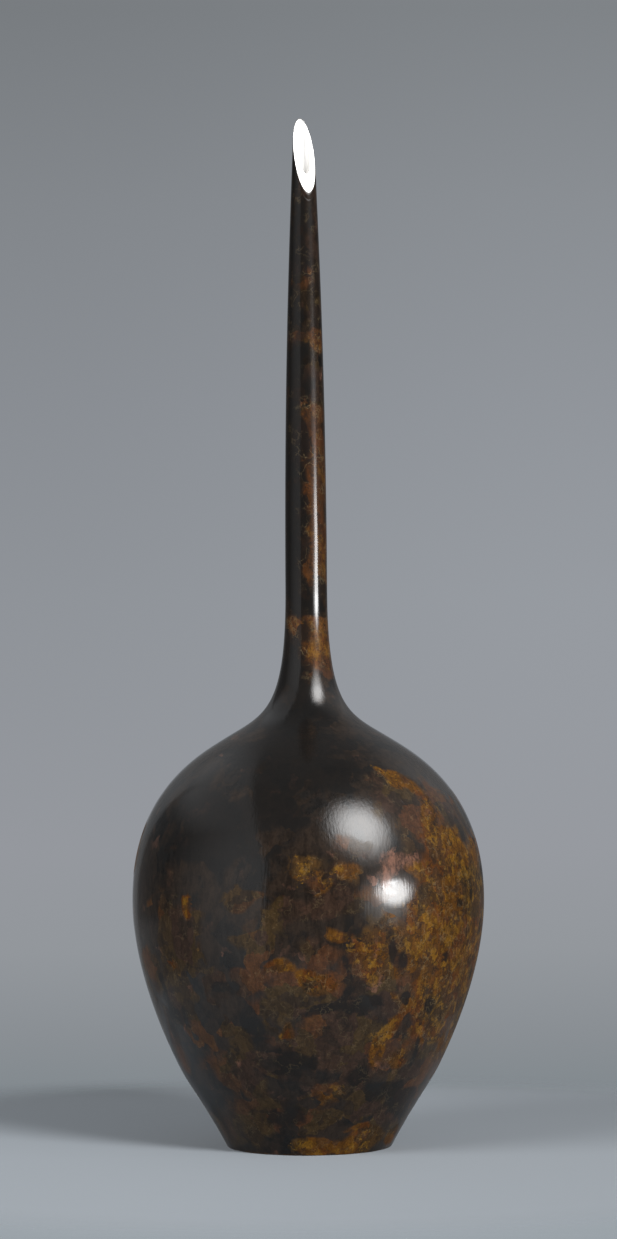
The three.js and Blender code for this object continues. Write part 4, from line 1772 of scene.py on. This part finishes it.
@dataclass(frozen=True)
class Studio:
    """The floor, the backdrop, the lamps and the camera."""

    floor_radius: float = 0.42
    floor_rings: int = 12
    floor_spokes: int = 64
    eye: Spot = (0.0, -2.4, 0.300)
    aim: Spot = (0.0012, 0.0, 0.3066)
    lens: float = 119.56
    sensor: float = 36.0
    roll: float = 0.36
    lamps: tuple[Lamp, ...] = (
        Lamp("Softbox", (0.031, -0.089, 0.190), 44.0, 40.5, 4.0, 3.70, 3.70, 12.0, 0.03, 0.16, 0.96,
             lights=False),
        Lamp("Small lamp", (0.055, -0.070, 0.152), 57.8, 2.6, 3.0, 2.03, 0.93, 32.0, 0.01, 0.34, 0.80,
             lights=False),
        Lamp("Lamp haze", (0.055, -0.070, 0.152), 52.0, 0.0, 4.0, 3.50, 2.20, 4.0, 0.0, 0.05, 1.00,
             lights=False),
        Lamp("Key", (0.0, 0.0, 0.12), 35.0, 27.0, 2.5, 0.85, 0.85, 34.6, 1.0, mirrored=False),
        Lamp("Side", (0.0, 0.0, 0.12), -50.0, 27.0, 2.0, 1.2, 1.2, 6.0, 1.0, mirrored=False),
    )
    # The backdrop's light and shade are painted in: it darkens towards the top and in a band low down.
    backdrop: tuple[tuple[float, Colour], ...] = (
        (-0.145, screen(155, 163, 169)),
        (-0.122, screen(148, 155, 162)),
        (-0.110, screen(131, 138, 143)),
        (-0.099, screen(137, 142, 147)),
        (-0.077, screen(147, 151, 156)),
        (-0.053, screen(150, 153, 159)),
        (0.008, screen(147, 151, 157)),
        (0.056, screen(141, 145, 151)),
        (0.104, screen(134, 138, 143)),
        (0.149, screen(124, 128, 132)),
    )
    reach: float = 0.16
    fill: Colour = (0.17, 0.175, 0.18)
    cool: Colour = (1.0, 1.03, 1.07)
    ground: float = 0.14
    wall_edge: float = -28.0
    wall_blur: Span = (-0.006, 0.010)
    wall_glow: float = 0.54
    wall_top: Spot = (-0.861, 0.287, -0.421)
    wall_leans_from: float = 0.30
    wall_lean: float = 0.50
    wall_nearness: Span = (0.20, 1.05)
    wall_far_glow: float = 0.07
    wall_lift: float = 0.38
    wall_lift_up: Span = (0.30, 0.62)
    wall_lift_left: Span = (-0.10, -0.50)
    above_glow: float = 0.07
    above: Span = (0.25, 0.95)
    right_glow: float = 0.45
    right: Span = (0.25, 0.90)
    right_up: Span = (0.05, 0.55)
    behind: Span = (0.96, 0.995)
    backdrop_glow: float = 0.15
    dark_glow: float = 0.05
    edge: Span = (-0.006, 0.014)
    fades: Span = (0.55, 0.90)
    lift: float = 0.7
    lift_left: Span = (-0.28, -0.55)
    lift_up: Span = (0.10, 0.45)
    backdrop_left: Spot = (0.785, 0.515, 0.344)
    backdrop_right: float = -136.0
    seam_width: float = 0.045
    seam_depth: float = 0.45
    seam_left: Span = (-0.20, -0.40)
    seam_up: Span = (0.50, 0.70)
    floor_line: Span = (-0.16, -0.04)
    drape_side: Span = (-0.08, 0.08)
    drape_shares: Span = (0.94, 1.06)
    drape_up: Span = (-0.09, 0.03)

    def floor(self) -> None:
        """The round of paper under the vase."""
        points = [Vector((0, 0, 0))]
        ways = [bearing(360 * spoke / self.floor_spokes) for spoke in range(self.floor_spokes)]
        for ring in range(1, self.floor_rings + 1):
            points += [way * (self.floor_radius * ring / self.floor_rings) for way in ways]
        faces = disc_faces(self.floor_rings, self.floor_spokes)
        floor = piece_from("floor", points, faces, Paper().make())

    def world(self) -> None:
        """The backdrop as the camera sees it, and the dim room that lights and mirrors in the vase."""
        world = bpy.data.worlds.new("Studio")
        bpy.context.scene.world = world
        world.use_nodes = True
        bench = Bench(world.node_tree)
        bench.tree.nodes.clear()
        way = bench.out("ShaderNodeTexCoord", output="Generated")
        rays = bench.outs(bench.add("ShaderNodeLightPath"))
        room = self.room(bench, way)
        tints = {number: room * share for number, share in enumerate(self.cool)}
        tone = bench.mix(rays["Is Diffuse Ray"], bench.out("ShaderNodeCombineColor", tints), self.fill)
        straight = rays["Is Glossy Ray"] * bench.ramp(bench.split(way)["Y"], *self.behind)
        seen = bench.math("MAXIMUM", rays["Is Camera Ray"], rays["Is Transmission Ray"])
        seen = bench.math("MAXIMUM", seen, straight)
        light = bench.out("ShaderNodeBackground", {"Color": bench.mix(seen, tone, self.drape(bench, way))})
        bench.add("ShaderNodeOutputWorld", {"Surface": light})

    def drape(self, bench: Bench, way: Wire) -> Wire:
        """The backdrop's colour in a direction, as the camera sees it, with its light and shade painted in.

        Args:
            bench: the bench on the world's nodes.
            way: the direction.

        Returns:
            The colour.
        """
        parts = bench.split(way)
        share = bench.ramp(parts["Z"], -self.reach, self.reach, shape="LINEAR")
        ramp = bench.add("ShaderNodeValToRGB", {0: share})
        stops = ramp.color_ramp.elements
        while len(stops) > 1:
            stops.remove(stops[-1])
        for number, (height, tone) in enumerate(self.backdrop):
            position = (height + self.reach) / (2 * self.reach)
            stop = stops[0] if number == 0 else stops.new(position)
            stop.position = position
            stop.color = opaque(tone)
        side = bench.ramp(parts["X"], *self.drape_side, *self.drape_shares)
        tilt = (side - 1.0) * bench.ramp(parts["Z"], *self.drape_up) + 1.0
        return bench.scaled(bench.outs(ramp)["Color"], tilt)

    def room(self, bench: Bench, way: Wire) -> Wire:
        """How bright the room is in a direction.

        The backdrop stands behind, lifted at its upper left and ending there in a dark seam. There is
        some light above and at the right, a pale wall at the left and the paper below.

        Args:
            bench: the bench on the world's nodes.
            way: the direction.

        Returns:
            The brightness.
        """
        parts = bench.split(way)
        left, right = (bench.vector("DOT_PRODUCT", way, edge)
                       for edge in (self.backdrop_left, bearing(self.backdrop_right)))
        within = bench.math("MINIMUM", left, right)
        behind = bench.ramp(within, *self.edge, self.dark_glow, self.backdrop_glow)
        behind = behind * bench.ramp(parts["Z"], *self.fades, 1.0, 0.2)
        lift = bench.ramp(parts["X"], *self.lift_left)
        lift = lift * bench.ramp(parts["Z"], *self.lift_up, 0.0, self.lift)
        above = bench.ramp(parts["Z"], *self.above, 0.0, self.above_glow)
        beside = bench.ramp(parts["X"], *self.right, 0.0, self.right_glow)
        beside = beside * bench.ramp(parts["Z"], *self.right_up)
        room = bench.math("MAXIMUM", behind * (lift + 1.0) + above + beside, self.side_wall(bench, way))
        room = bench.math("MAXIMUM", room, bench.ramp(parts["Z"], *self.floor_line, self.ground, 0.0))
        near = 1.0 - bench.ramp(bench.math("ABSOLUTE", left), 0.0, self.seam_width)
        seam = near * bench.ramp(parts["X"], *self.seam_left, 0.0, self.seam_depth)
        return room * (1.0 - seam * bench.ramp(parts["Z"], *self.seam_up, 1.0, 0.0))

    def side_wall(self, bench: Bench, way: Wire) -> Wire:
        """How bright the pale wall on the left is. It is brightest at its near edge, which leans away.

        Args:
            bench: the bench on the world's nodes.
            way: the direction.

        Returns:
            The brightness.
        """
        parts = bench.split(way)
        past, towards, under = (bench.vector("DOT_PRODUCT", way, edge) for edge in (
            bearing(self.wall_edge - 90), bearing(self.wall_edge), self.wall_top))
        lean = bench.math("MAXIMUM", parts["Z"] - self.wall_leans_from, 0.0) * self.wall_lean
        edge = bench.ramp(bench.math("MINIMUM", past - lean, under), *self.wall_blur)
        glow = bench.ramp(towards, *self.wall_nearness, self.wall_far_glow, self.wall_glow)
        lifted = bench.ramp(parts["Z"], *self.wall_lift_up, 0.0, self.wall_lift)
        lifted = lifted * bench.ramp(parts["X"], *self.wall_lift_left)
        return edge * bench.math("MAXIMUM", glow, lifted)

    def camera(self) -> None:
        """The camera, level with the middle of the vase, turned very slightly about its line of sight."""
        seen = bpy.data.cameras.new("Camera")
        seen.lens = self.lens
        seen.sensor_width = self.sensor
        look = (Vector(self.aim) - Vector(self.eye)).to_track_quat("-Z", "Y").to_matrix().to_4x4()
        roll = Matrix.Rotation(math.radians(-self.roll), 4, "Z")
        camera = linked("Camera", seen)
        camera.matrix_world = Matrix.Translation(Vector(self.eye)) @ look @ roll
        bpy.context.scene.camera = camera

    def build(self) -> None:
        """Sets up the whole studio."""
        bpy.context.scene.view_settings.view_transform = "Standard"
        self.camera()
        self.world()
        self.floor()
        for lamp in self.lamps:
            lamp.hang()
        log.info("studio: floor, backdrop, lamps and camera")


def main() -> None:
    """Builds the studio and every part in order."""
    logging.basicConfig(level=logging.INFO, format="%(name)s %(message)s")
    Studio().build()
    outline = Outline()
    shared = (outline, Finishes.build(), Dauber(outline, PLACED), TurnedShell(), RoundTheAxis(),
              Slant(outline))
    count = sum(len(part(*shared).build()) for part in (Body, Neck, Mouth, Fasteners, Foot, Sleeves))
    log.info("%d pieces", count)


if __name__ == "__main__":
    main()
